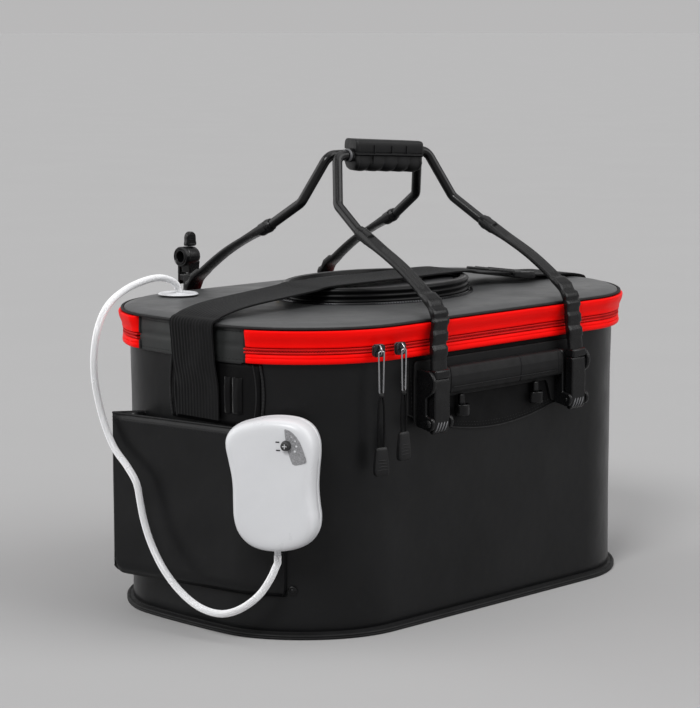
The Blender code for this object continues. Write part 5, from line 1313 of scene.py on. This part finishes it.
def build_strap():
    profile = strap_profile()
    wall = -END_X
    clear = wall - (PANEL_PROUD + 2 * PIPING_RADIUS + STRAP / 2 + 3 * GAP)
    left = profile[:1] + mm(clear, LID_EDGE, 1, 2.2) + mm(clear, BAND_TOP, -1.4, 0) + [(clear, BAND_BOTTOM)]
    left += mm(wall, TAPE_BOTTOM, -9, -4) + mm(wall, DROP_Z, -5, 0) + mm(wall, ANCHOR_BOTTOM, -4.2, 4)
    clear = END_X + LIP_PROUD + STRAP / 2 + 4 * GAP
    right = profile[-1:] + mm(clear, LID_EDGE, -1.5, 1.8) + mm(clear, BAND_TOP, 0.8, -2)
    right += [(clear, BAND_BOTTOM), (END_X + FREE_DROP_OUT + STRAP / 4, FREE_DROP_Z),
              (END_X + FREE_DROP_OUT, FREE_DROP_END)]
    for name, points, step, body, node in (("strap_top", profile, 0.005, "lid", "shoulder_strap"),
                                           ("strap_drop_left", left, 0.0028, None, "strap_left_drop"),
                                           ("strap_drop_right", right, 0.0028, "lid", "strap_right_drop")):
        path = smooth_path([(x, STRAP_Y, z) for x, z in points], step)
        made = strip(name, path, (0, 1, 0), web_section(), "web", body, node, 50)
        if not body:
            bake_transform(made)
    low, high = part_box("strap_hook")
    x, y, _ = (low + high) / 2
    rim = mm(low.y, high.z, 4, -1.7) + mm(high.y, high.z, -4, -1.7, -1, -9) + mm(y, low.z, 10, 4, -10, 4)
    rim += mm(low.y, high.z, 1, -9)
    tube("strap_hook_frame", rounded_path([(x, *p) for p in rim], 0.003, 4, True), 0.0017, "plastic", "lid",
         "strap_hook", 10, closed=True)
    block("strap_hook_bar", (x, y, high.z - 0.0075), (0.0036, high.y - low.y - 0.008, 0.0042), "plastic",
          "lid", bevel=0.0012)
    block("strap_hook_tongue", (x, y, low.z + 0.0065), (0.0034, 0.012, 0.0110), "plastic", "lid",
          bevel=0.0014)
    build_anchors()
    ring = [(END_X + RING_OUT, STRAP_Y + u, (RING_TOP + RING_BOTTOM) / 2 + v)
            for u, v in oblong(RING_HALF, (RING_TOP - RING_BOTTOM) / 2)]
    tube("strap_ring_wire", rounded_path(ring, 0.005, 7, True), RING_WIRE, "plastic", "tub", "strap_ring", 12,
         closed=True)
    rows = [[(x, STRAP_Y + u, z) for u in (-0.018, -0.009, 0, 0.009, 0.018)]
            for x, z in arc(END_X + 0.0056, RING_BOTTOM + 0.0002, 0.0030, 0.0030, -90, 90, 16)]
    sheet_of("ring_loop", rows, "web", "tub", 0.0010)


def build_anchors():
    for name, centre in (("left", -STRAP_Y + ANCHOR_ASIDE), ("right", PERIMETER / 2 + STRAP_Y)):
        rows = [[edge(centre + ANCHOR_HALF * k / 14, GAP + ANCHOR * 0.45 + 0.0002 * ripple(k, j, 0, 2.3),
                      ANCHOR_BOTTOM + (ANCHOR_TOP - ANCHOR_BOTTOM) * j / 12) for k in range(-14, 15)]
                for j in range(13)]
        sheet_of("anchor_" + name, rows, "dark", "tub", ANCHOR * 0.7, "strap_%s_anchor" % name)
        for tag, place, thick in (("a", -1, 0.0013), ("b", 1, 0.0013), ("c", -0.88, 0.0008),
                                  ("d", 0.88, 0.0008)):
            path = [edge(centre + ANCHOR_HALF * place + math.copysign(0.003, place) * math.sin(math.pi * t),
                         0.0016, ANCHOR_BOTTOM + 0.001 + (ANCHOR_TOP - ANCHOR_BOTTOM - 0.002) * t)
                    for t in shares(60)]
            tube("anchor_%s_edge_%s" % (name, tag), path,
                 lambda t: thick * (0.78 + 0.32 * abs(math.sin(t * math.pi * 17))), "bind", "tub", segments=8,
                 slot="webbing")
    for k, (aside, wide) in enumerate(((0.0485, 0.0050), (0.0375, 0.0036)), 1):
        rows = []
        for t in shares(10):
            swell = 0.0034 * math.sin(math.pi * (0.12 + 0.76 * t))
            rows.append([edge(-STRAP_Y + aside + wide * u, 0.0020 + swell * math.cos(math.pi * u / 2),
                              ANCHOR_BOTTOM + 0.012 + 0.034 * t) for u in (-1, -0.7, -0.35, 0, 0.35, 0.7, 1)])
        sheet_of("anchor_pleat_%d" % k, rows, "web", "tub", 0.0010)


def build_adjuster():
    """A sliding frame round the strap, with two ribs across its top."""
    (x0, z0), (x1, z1) = strap_profile()[8:10]
    slope = (z1 - z0) / (x1 - x0)
    along, up = Vector((1, 0, slope)).normalized(), Vector((-slope, 0, 1)).normalized()
    centre = Vector((ADJUSTER_X, STRAP_Y, z0 + slope * (ADJUSTER_X - x0)))
    room, half_in = STRAP / 2 + 0.0009, STRAP_WIDTH / 2 + 0.0012

    def at(place, points):
        return [centre + along * place + Vector((0, a, 0)) + up * b for a, b in points]
    rings = []
    for place, grow in ((-0.5, 0.0004), (-0.47, 0.0), (-0.25, 0.0), (-0.18, -0.0006), (0.18, -0.0006),
                        (0.25, 0.0), (0.47, 0.0), (0.5, 0.0004)):
        wide, low, high = half_in + ADJUSTER_WALL - grow, -room - 0.0016 + grow, room + 0.0016 - abs(grow)
        corners = [(-wide, low), (wide, low), (wide, high), (-wide, high)]
        rings.append(at(place * ADJUSTER_LENGTH, soft_outline(corners, 0.0012, 3)))
    for place in (0.5, -0.5):
        rings.append(at(place * ADJUSTER_LENGTH, soft_outline(oblong(half_in, room), 0.0004, 3)))
    skin("adjuster_frame", rings, "plastic", "adjuster", "strap_adjuster", closed=True, sharp=38)
    for tag, place in (("a", -0.0105), ("b", 0.0105)):
        across = (-half_in + 0.004, -0.012, 0.0, 0.012, half_in - 0.004)
        tube("adjuster_rib_" + tag, at(place, [(a, room + 0.0016) for a in across]), 0.0007, "plastic",
             "adjuster", segments=8)


# Rod rest
def build_rod_rest():
    cx, cy, cz = ROD_CLAMP
    y = WIDTH / 2 + LIP_PROUD + LEG_CLEAR + LEG_THICK + WAVE + GAP + cy / 2
    body = "back_handle"
    block("rod_clamp_body", (ROD_X, y, ROD_CLAMP_Z + cz / 2), ROD_CLAMP, "plastic", body, "rod_clamp",
          0.0024, 4)
    for k in range(3):
        line = [(ROD_X + cx / 2 * u, y + cy / 2 - 0.0002, ROD_CLAMP_Z + 0.006 + 0.005 * k)
                for u in (-0.75, -0.3, 0.3, 0.75)]
        tube("rod_clamp_line_%d" % (k + 1), line, 0.0006, "plastic", body, segments=6)
    low, post_top = ROD_CLAMP_Z + cz - 0.004, SOCKET_Z - SOCKET_SWEEP
    block("rod_post", (ROD_X, y, (low + post_top) / 2),
          (ROD_POST[0] + 0.0015, ROD_POST[1] + 0.0025, post_top - low), "plastic", body,
          bevel=0.0016, taper=0.92)
    block("rod_side_nut", (ROD_X + cx / 2 + 0.0005, y - 0.001, ROD_CLAMP_Z + cz * 0.62),
          (0.0080, 0.0090, 0.0110), "plastic", body, bevel=0.0020)
    ear_y = y + SOCKET_RADIUS + 0.001
    outline = [(ROD_X - 0.005, post_top - 0.012), (ROD_X + 0.005, post_top - 0.012)]
    outline += arc(ROD_X, SOCKET_Z, 0.005, 0.006, 0, 180, 12)
    prism("rod_ear", outline, "XZ", ear_y, ear_y + 0.003, "plastic", body, bevel=0.0007)
    block("rod_foot", (ROD_X, y + 0.004, post_top - 0.0045), (0.010, 0.016, 0.007), "plastic", body,
          bevel=0.0014)
    r, bore = SOCKET_RADIUS, SOCKET_BORE
    turned("rod_cup_ring", (ROD_X - SOCKET_HALF - 0.002, y, SOCKET_Z), (1, 0, 0),
           mm(0, bore, 18, 0, 0.6, 0, 0, 0.5, 0, 1.6, 0.8, 2.2)
           + mm(0, r, 0.8, -1.6, 0.2, -1, 0.4, -0.3, 1.2, 0, 4, 0, 4.6, -0.6, 5.6, -0.6, 6.2, 0, 15, -0.3,
                19.5, -1, 21.2, -2.2, 22, -4.5) + mm(0, 0, 22, 2.5, 21.6, 0.8, 19, 1) + mm(0, bore, 18, -1),
           "plastic", "rod_cup", "rod_socket", 40, closed=True)
    turned("rod_bolt_head", (ROD_X, ear_y + 0.003 + GAP, SOCKET_Z), (0, 1, 0),
           mm(0, 0, 0, 4.3, 0.3, 4.5, 1.8, 4.5, 2, 3.8, 3, 3.2, 3.2, 1.8, 2.4, 1.6), "steel", body,
           "rod_bolt", 6, sharp=25)
    reach = SOCKET_SWEEP - 0.0003
    lobe = mm(0, 0, -8.2, -5) + arc(0, 0, reach, reach, -112, -68, 8) + mm(0, 0, 8.2, -5)
    prism("rod_cup_lobe", [(ROD_X + u, SOCKET_Z + v) for u, v in lobe], "XZ", y - 0.0066, y + 0.0060,
          "plastic", "rod_cup", bevel=0.0012, segments=3)
    lx, ly, lz = LEVER
    half, foot, front = lx / 2, SOCKET_Z + r + GAP, y - ly * 0.85
    outline = mm(ROD_X - half, foot, -0.6, 0) + mm(ROD_X + half, foot, 0.6, 0, 0.6, 3, 0, 4.8)
    outline += arc(ROD_X, foot + lz - half, half, half, 0, 180, 14) + mm(ROD_X - half, foot, 0, 4.8, -0.6, 3)
    prism("rod_lever_blade", outline, "XZ", front, y + ly * 0.85, "plastic", "rod_latch", "rod_lever",
          0.0014, 3)
    turned("rod_lever_base", (ROD_X, y, foot - 0.0001), UP,
           mm(0, 0, 0, 5.2, 0.4, 5.6, 2.2, 5.6, 2.7, 5, 2.8, 2), "plastic", "rod_latch")
    for k in range(3):
        line = [(ROD_X + half * u, front, foot + 0.0065 + 0.0026 * k) for u in (-0.66, 0.0, 0.66)]
        tube("rod_lever_line_%d" % (k + 1), line, 0.0006, "plastic", "rod_latch", segments=6)


# Pouch
def outward(path, i):
    """The level direction away from the tub at a point of a path along its wall."""
    tangent = (path[min(len(path) - 1, i + 1)] - path[max(0, i - 1)]).normalized()
    normal = Vector((tangent.y, -tangent.x, 0))
    return normal if normal.dot(path[i]) > 0 else -normal


def pouch_plan():
    """The pouch's mouth seen from above, and how many of its points lie on the far side."""
    far = Vector((-LENGTH / 2 + POCKET_FAR[0], POCKET_FAR[1], 0))
    front = [edge(s, POCKET_PROUD) for s in stations(POCKET_NEAR_S, POCKET_END_S, 0.006)]
    fine = [0.0, 0.0012, 0.0026, 0.0042, 0.0060, 0.0080, 0.0100, 0.0125]
    length = (front[0] - far).length
    reaches = fine + [fine[-1] + (length - fine[-1]) * k / 20 for k in range(1, 20)]
    run = [far.lerp(front[0], reach / length) for reach in reaches]
    wall_foot = edge(POCKET_FAR_S, 0.0006)
    length = (wall_foot - far).length
    side = [far.lerp(wall_foot, 1 - k / 6) for k in range(5)]
    side += [far.lerp(wall_foot, reach / length) for reach in fine[5:0:-1]]
    plan = side + run + front + [edge(POCKET_END_S + 0.0005, 0.0012)]
    for i in range(len(side) - 1, len(side) + 2):
        plan[i] = (plan[i - 1] + plan[i] * 2 + plan[i + 1]) / 4
    return plan, len(side), far


def build_pouch():
    plan, sided, far = pouch_plan()
    walked = walk(plan)
    rows = []
    for t in shares(22):
        row = []
        for i, point in enumerate(plan):
            near = max(0.0, 1 - abs(walked[i] - walked[sided]) / POUCH_CORNER)
            bottom = POCKET_BOTTOM + 0.0004 + POUCH_CORNER * (1 - bow(near))
            z = bottom + (POCKET_TOP - bottom - 0.0003) * t
            calm = math.sin(math.pi * t ** 0.8) * math.sin(math.pi * min(1.0, walked[i] / walked[-1] * 1.05))
            sag = 0.0016 * max(0.0, calm) * (0.45 + ripple(point.x, point.y, z, 0.05))
            tuck = 0.0030 * (1 - ease(t / 0.05)) if 0 < i < len(plan) - 1 else 0.0
            row.append(point - outward(plan, i) * (max(0.0, sag) + tuck + 0.0007) + UP * z)
        rows.append(row)
    sheet_of("pouch_front", rows, "eva", "tub", POCKET_SHEET * 0.8, "pocket", sharp=50)
    hem = rows[-1]
    tube("pouch_hem", hem, 0.0011, "bind", "tub", segments=8)
    normals = [outward(hem, i) for i in range(len(hem))]
    for tag, drop in (("a", 0.0045), ("b", 0.0075)):
        stitches("pouch_stitching_" + tag, [p - UP * drop + n * 0.0007 for p, n in zip(hem, normals)],
                 normals, "tub")
    run = (POCKET_END_S - POCKET_FAR_S) / (len(plan) - 1)
    inner = [edge(POCKET_FAR_S + run * k, 0.0006, p.z) for k, p in enumerate(rows[0])]
    floor_rows = [[a.lerp(b, share) for a, b in zip(rows[0], inner)] for share in shares(4)]
    sheet_of("pouch_floor", floor_rows, "eva", "tub", 0.0010, sharp=50)
    gusset = []
    for t in shares(8):
        z = POCKET_TOP - 0.0016 - 0.050 * t
        start = far.lerp(edge(POCKET_FAR_S, 0.0006), 0.10 + 0.1 * t) + UP * z
        end = edge(POCKET_FAR_S + 0.002, 0.0010, z)
        peak = start.lerp(end, 0.5) + Vector((0, -0.010 * (1 - t), 0.003 * (1 - t)))
        gusset.append([start.lerp(peak, share) for share in shares(4)[:-1]]
                      + [peak.lerp(end, share) for share in shares(4)])
    sheet_of("pouch_gusset", gusset, "eva", "tub", 0.0009, sharp=60)
    s = POCKET_END_S + SNAP_RADIUS + 0.002
    turned("pouch_snap", edge(s, GAP + 0.0004, POCKET_BOTTOM + SNAP_RADIUS + 0.001), edge_normal(s),
           mm(0, SNAP_RADIUS, 0, -0.4, 0.4, 0, 1.2, -0.2, 1.6, -1, 1.6, -1.8, 2.4, -2.2, 2.8, -3.2)
           + mm(0, 0, 3, 0.6), "plastic", "tub", "pocket_snap")


# Air pump
def pump_ring(inset, depth):
    """The pump's mouse-shaped outline, drawn in by inset, at a depth from its seam."""
    centre, normal, side = pump_frame()
    pts = [Vector((u, v, 0)) for u, v in PUMP_OUTLINE]
    path = smooth_path(pts[-2:] + pts + pts[:3], 0.0035)
    away = [(p - pts[0]).length for p in path]
    half = len(path) // 2 + 1
    start, end = away.index(min(away[:half])), half + away[half:].index(min(away[half:]))
    return [centre + side * (p.x * (1 - inset / PUMP_A)) + UP * (p.y * (1 - inset / PUMP_B)) + normal * depth
            for p in reversed(path[start:end])]


def build_pump():
    centre, normal, side = pump_frame()
    seam, w, f, b = GAP / 2, PUMP_WALL, PUMP_FRONT, -PUMP_BACK
    front = [(0.0300, f), (0.0150, f * 0.998), (0.0100, f * 0.988), (0.0070, f * 0.965), (0.0049, f * 0.925),
             (0.0033, f * 0.86), (0.0021, f * 0.77), (0.0013, f * 0.65), (0.0007, f * 0.49),
             (0.0003, f * 0.30), (0.0001, 0.0016), (0.0008, 0.0009), (0.0008, seam), (w, seam),
             (0.0016 + w, f * 0.45), (0.006 + w, f * 0.68), (0.020 + w, f - w)]
    back = [(0.0300, b), (0.0180, b), (0.0120, b * 0.985), (0.0080, b * 0.95), (0.0045, b * 0.87),
            (0.0022, b * 0.72), (0.0008, b * 0.45), (0.0002, b * 0.2), (0.0001, -0.0014), (0.0006, -0.0008),
            (0.0006, -seam), (w, -seam), (0.0012 + w, b * 0.55), (0.006 + w, b + w)]
    for tag, profile in (("front", front), ("back", back)):
        skin("pump_shell_" + tag, [pump_ring(*place) for place in profile], "white", "tub",
             "pump_%s_shell" % tag, sharp=45)
    turned("pump_outlet", nozzle_tip(), UP, mm(0, 0, 0, 1.5)
           + mm(0, NOZZLE_RADIUS, 0, -0.3, 0.6, 0, 1.6, 0, 2, -0.5, 2.6, 0, 4.6, 0, 5, 1, 8.2, 1.6), "white",
           "tub", segments=24)
    spot = centre + side * KNOB_AT[0] + UP * KNOB_AT[1] + normal * f
    turned("pump_switch", spot + normal * GAP, normal,
           mm(0, KNOB_RADIUS, 0, 0, 1.2, 0, 1.6, -0.5, 5, -0.7, 5.7, -1.1, 6, -1.8) + mm(0, 0, 6, 0.4),
           "ink", "knob", "pump_knob", 32)
    for k, line in enumerate((side, UP), 1):
        tube("pump_switch_mark_%d" % k,
             [spot + normal * (GAP + 0.0060) + line * a for a in (-0.0022, 0.0, 0.0022)], 0.00035, "white",
             "knob", segments=6)

    def face_point(u, v, lift):
        return spot + side * u + UP * v + normal * lift
    fan = soft_outline(mm(0, 0, -1.8, 15.3, 3, 14, 6.6, 11.5, 10, 8, 13.3, 3, 16.2, -4, 18.6, -11,
                          19.2, -14.3, 18, -15.6, 14, -17, 8.5, -18.3, 5.8, -17, 4.2, -13.5, 1.6, -6,
                          0.2, 0, -1.2, 8), 0.0006, 2)
    skin("pump_dial_field", [[face_point(*p, lift) for p in fan] for lift in (0.00005, 0.00018)], "decal",
         "tub", sharp=60)
    for k, (u, v, wide) in enumerate(((-0.0085, 0.0028, 0.0036), (-0.0078, -0.0048, 0.0040)), 1):
        skin("pump_mark_%d" % k, [[face_point(u + a, v + c, lift) for a, c in oblong(wide / 2, 0.0006)]
                                  for lift in (0.0001, 0.00025)], "ink", "tub")
    for k in range(4):
        a = math.radians(58 - 30 * k)
        turned("pump_dot_%d" % (k + 1), face_point(0.0096 * math.cos(a), 0.0096 * math.sin(a), 0.0002),
               normal, mm(0, 0.00018 * k, 0, 0.5, 0.12, 0.4), "white", "tub", segments=14)
    foot = edge(PUMP_S)
    hook = POCKET_TOP + 0.0006
    middle = (0.0004 + POCKET_PROUD) / 2
    far_leg = POCKET_PROUD + 0.0007 + CLIP_SHEET / 2
    bend = [(far_leg, hook - CLIP_TAIL), (far_leg, hook + 0.0010), (middle, hook + 0.0010),
            (middle, hook - CLIP_TAIL)]
    strip("pump_spring_clip", rounded_path([foot + normal * n + UP * z for n, z in bend], 0.0012, 5), side,
          soft_outline(oblong(CLIP_WIDTH / 2, CLIP_SHEET / 2), 0.0003, 2), "steel", "tub", "pump_clip")
    block("pump_clip_pad", foot + normal * (far_leg + 0.0010) + UP * (hook - 0.014),
          (CLIP_WIDTH - 0.003, 0.0018, 0.020), "white", "tub", bevel=0.0007, turn=math.atan2(side.y, side.x))


# Zip sliders
def build_slider(index, at, normal):
    normal = Vector(normal).normalized()
    side = Vector((-normal.y, normal.x, 0))
    turn = math.atan2(side.y, side.x)
    sx, sy, sz = SLIDER
    body, pull = "slider_%d" % index, "pull_%d" % index
    split = (TEETH_LOW[1] + TEETH_HIGH[0]) / 2 - GAP / 2
    mid = Vector((at.x, at.y, split)) + normal * (sy / 2)

    def local(u, n, z):
        return mid + side * u + normal * n + UP * z
    u, v, notch = sx / 2, sz / 2, 0.0022
    outline = soft_outline([(-u, -v + notch), (-u + notch, -v), (u - notch, -v), (u, -v + notch),
                            (u, v - notch), (u - notch, v), (-u + notch, v), (-u, v - notch)], 0.0012, 3)
    for name, low, high, node in (("back", -sy / 2, -sy / 2 + 0.0014, ""),
                                  ("face", -0.0002, 0.0015, "zip_slider_%d" % index)):
        bevelled(skin("runner_%d_%s" % (index, name),
                      [[local(u, d, z) for u, z in outline] for d in (low, high)], "gun", body, node), 0.0005)
    block("runner_%d_post" % index, local(0, -0.0007, 0), (0.0034, 0.0018, sz - 0.003), "gun", body,
          bevel=0.0005, turn=turn)
    block("runner_%d_neck" % index, local(0, -sy / 2 - 0.0017, GAP / 2), (0.0050, 0.0042, 0.0013), "gun",
          body, bevel=0.0004, turn=turn)
    bridge = mm(0, 0, 0.8, 5) + mm(sy / 2, 0, 0, 4.4, 2.1, 1.6, 2.1, -1.6, 0, -4.4) + mm(0, 0, 0.8, -5)
    tube("runner_%d_bridge" % index, smooth_path([local(0, n, z) for n, z in bridge], 0.0007), 0.0008,
         "steel", body, segments=10)
    hang = mid + normal * (sy / 2 + 0.0010 + PULL_RADIUS)
    low = hang - UP * PULL_LENGTH
    top = hang - UP * 0.0004
    wire = rounded_path([top - side * PULL_HALF, low - side * PULL_HALF * 0.7, low + side * PULL_HALF * 0.7,
                         top + side * PULL_HALF], 0.0018, 6, True)
    tube("pull_wire_%d" % index, wire, PULL_RADIUS, "steel", pull, "zip_pull_%d" % index, 10, closed=True)
    end = hang - UP * PULL_DROPS[index - 1]
    tab_top = end + UP * TAB[2]
    for tag, k in (("a", -1), ("b", 1)):
        cord = [place + side * k * aside + UP * z
                for place, aside, z in ((low, 0.0006, 0.0012), (low, 0.0014, -0.003), (low, 0.0029, -0.013),
                                        (tab_top, 0.0034, 0.014), (tab_top, 0.0030, 0.004),
                                        (tab_top, 0.0026, -0.004))]
        cord = [p + normal * 0.00015 * math.sin(i * 1.7) for i, p in enumerate(smooth_path(cord, 0.0016))]
        tube("pull_cord_%d_%s" % (index, tag), cord, 0.00105, "dark", pull, segments=8, slot="rubber")
    turned("pull_knot_%d" % index, low - UP * 0.0036, UP,
           mm(0, 0, 0, 0.8, 0.6, 2.2, 2.2, 2.7, 3.8, 2.2, 4.6, 0.9), "bind", pull, segments=14)
    tx, ty, tz = TAB[0] * 1.16 / 2, TAB[1] / 2, TAB[2] * 0.94
    rings = []
    for t, w, d in ((0.0, 0.66, 0.50), (0.012, 0.80, 0.74), (0.05, 0.92, 0.92), (0.12, 0.99, 1.0),
                    (0.26, 1.0, 1.0), (0.45, 0.97, 0.97), (0.62, 0.90, 0.92), (0.78, 0.83, 0.86),
                    (0.90, 0.78, 0.80), (0.97, 0.74, 0.72), (1.0, 0.64, 0.50)):
        section = soft_outline(oblong(tx * w, ty * d), 0.0018 * min(w, d), 4)
        rings.append([end + UP * (tz * t) + side * u + normal * v for u, v in section])
    skin("pull_tab_%d" % index, rings, "rubber", pull, "zip_tab_%d" % index, sharp=45)
    for k in range(4):
        half = tx * (0.80 - 0.07 * k)
        line = [end + UP * tz * (0.22 + 0.11 * k) + side * u + normal * (ty - 0.0002)
                for u in (-half, -half / 2, 0, half / 2, half)]
        tube("pull_tab_%d_rib_%d" % (index, k + 1), line,
             lambda t: 0.0003 + 0.0004 * math.sin(math.pi * clamp(t)), "rubber", pull, segments=6)


def build_sliders():
    out = LIP_PROUD + SLIDER_CLEAR
    direction = Vector((math.cos(SLIDER_1_ANGLE), math.sin(SLIDER_1_ANGLE), 0))
    build_slider(1, Vector((-STRAIGHT_X, -STRAIGHT_Y, 0)) + direction * (CORNER_RADIUS + out), direction)
    build_slider(2, Vector((-STRAIGHT_X - SLIDER_2_PAST, -(WIDTH / 2 + out), 0)), (0, -1, 0))


def dress_frame():
    """A finish for each CAD node that stays."""
    looks = {"webbing": "web", "black_steel": "paint"}
    slots = {part["node"]: part["material_slot"] for part in frame["record"]["subparts"]}
    for name, node in frame["nodes"].items():
        if not node.hide_render:
            node.data.materials.clear()
            node.data.materials.append(LOOKS[looks.get(slots[name], slots[name])][1])


build_stage()
build_hoses()
build_tub()
build_zip()
build_lid()
for handle_side, handle_sign in (("front", -1), ("back", 1)):
    build_bracket(handle_side, handle_sign)
    build_bail(handle_side, handle_sign)
build_grip()
build_strap()
build_adjuster()
build_rod_rest()
build_pouch()
build_pump()
build_sliders()
dress_frame()
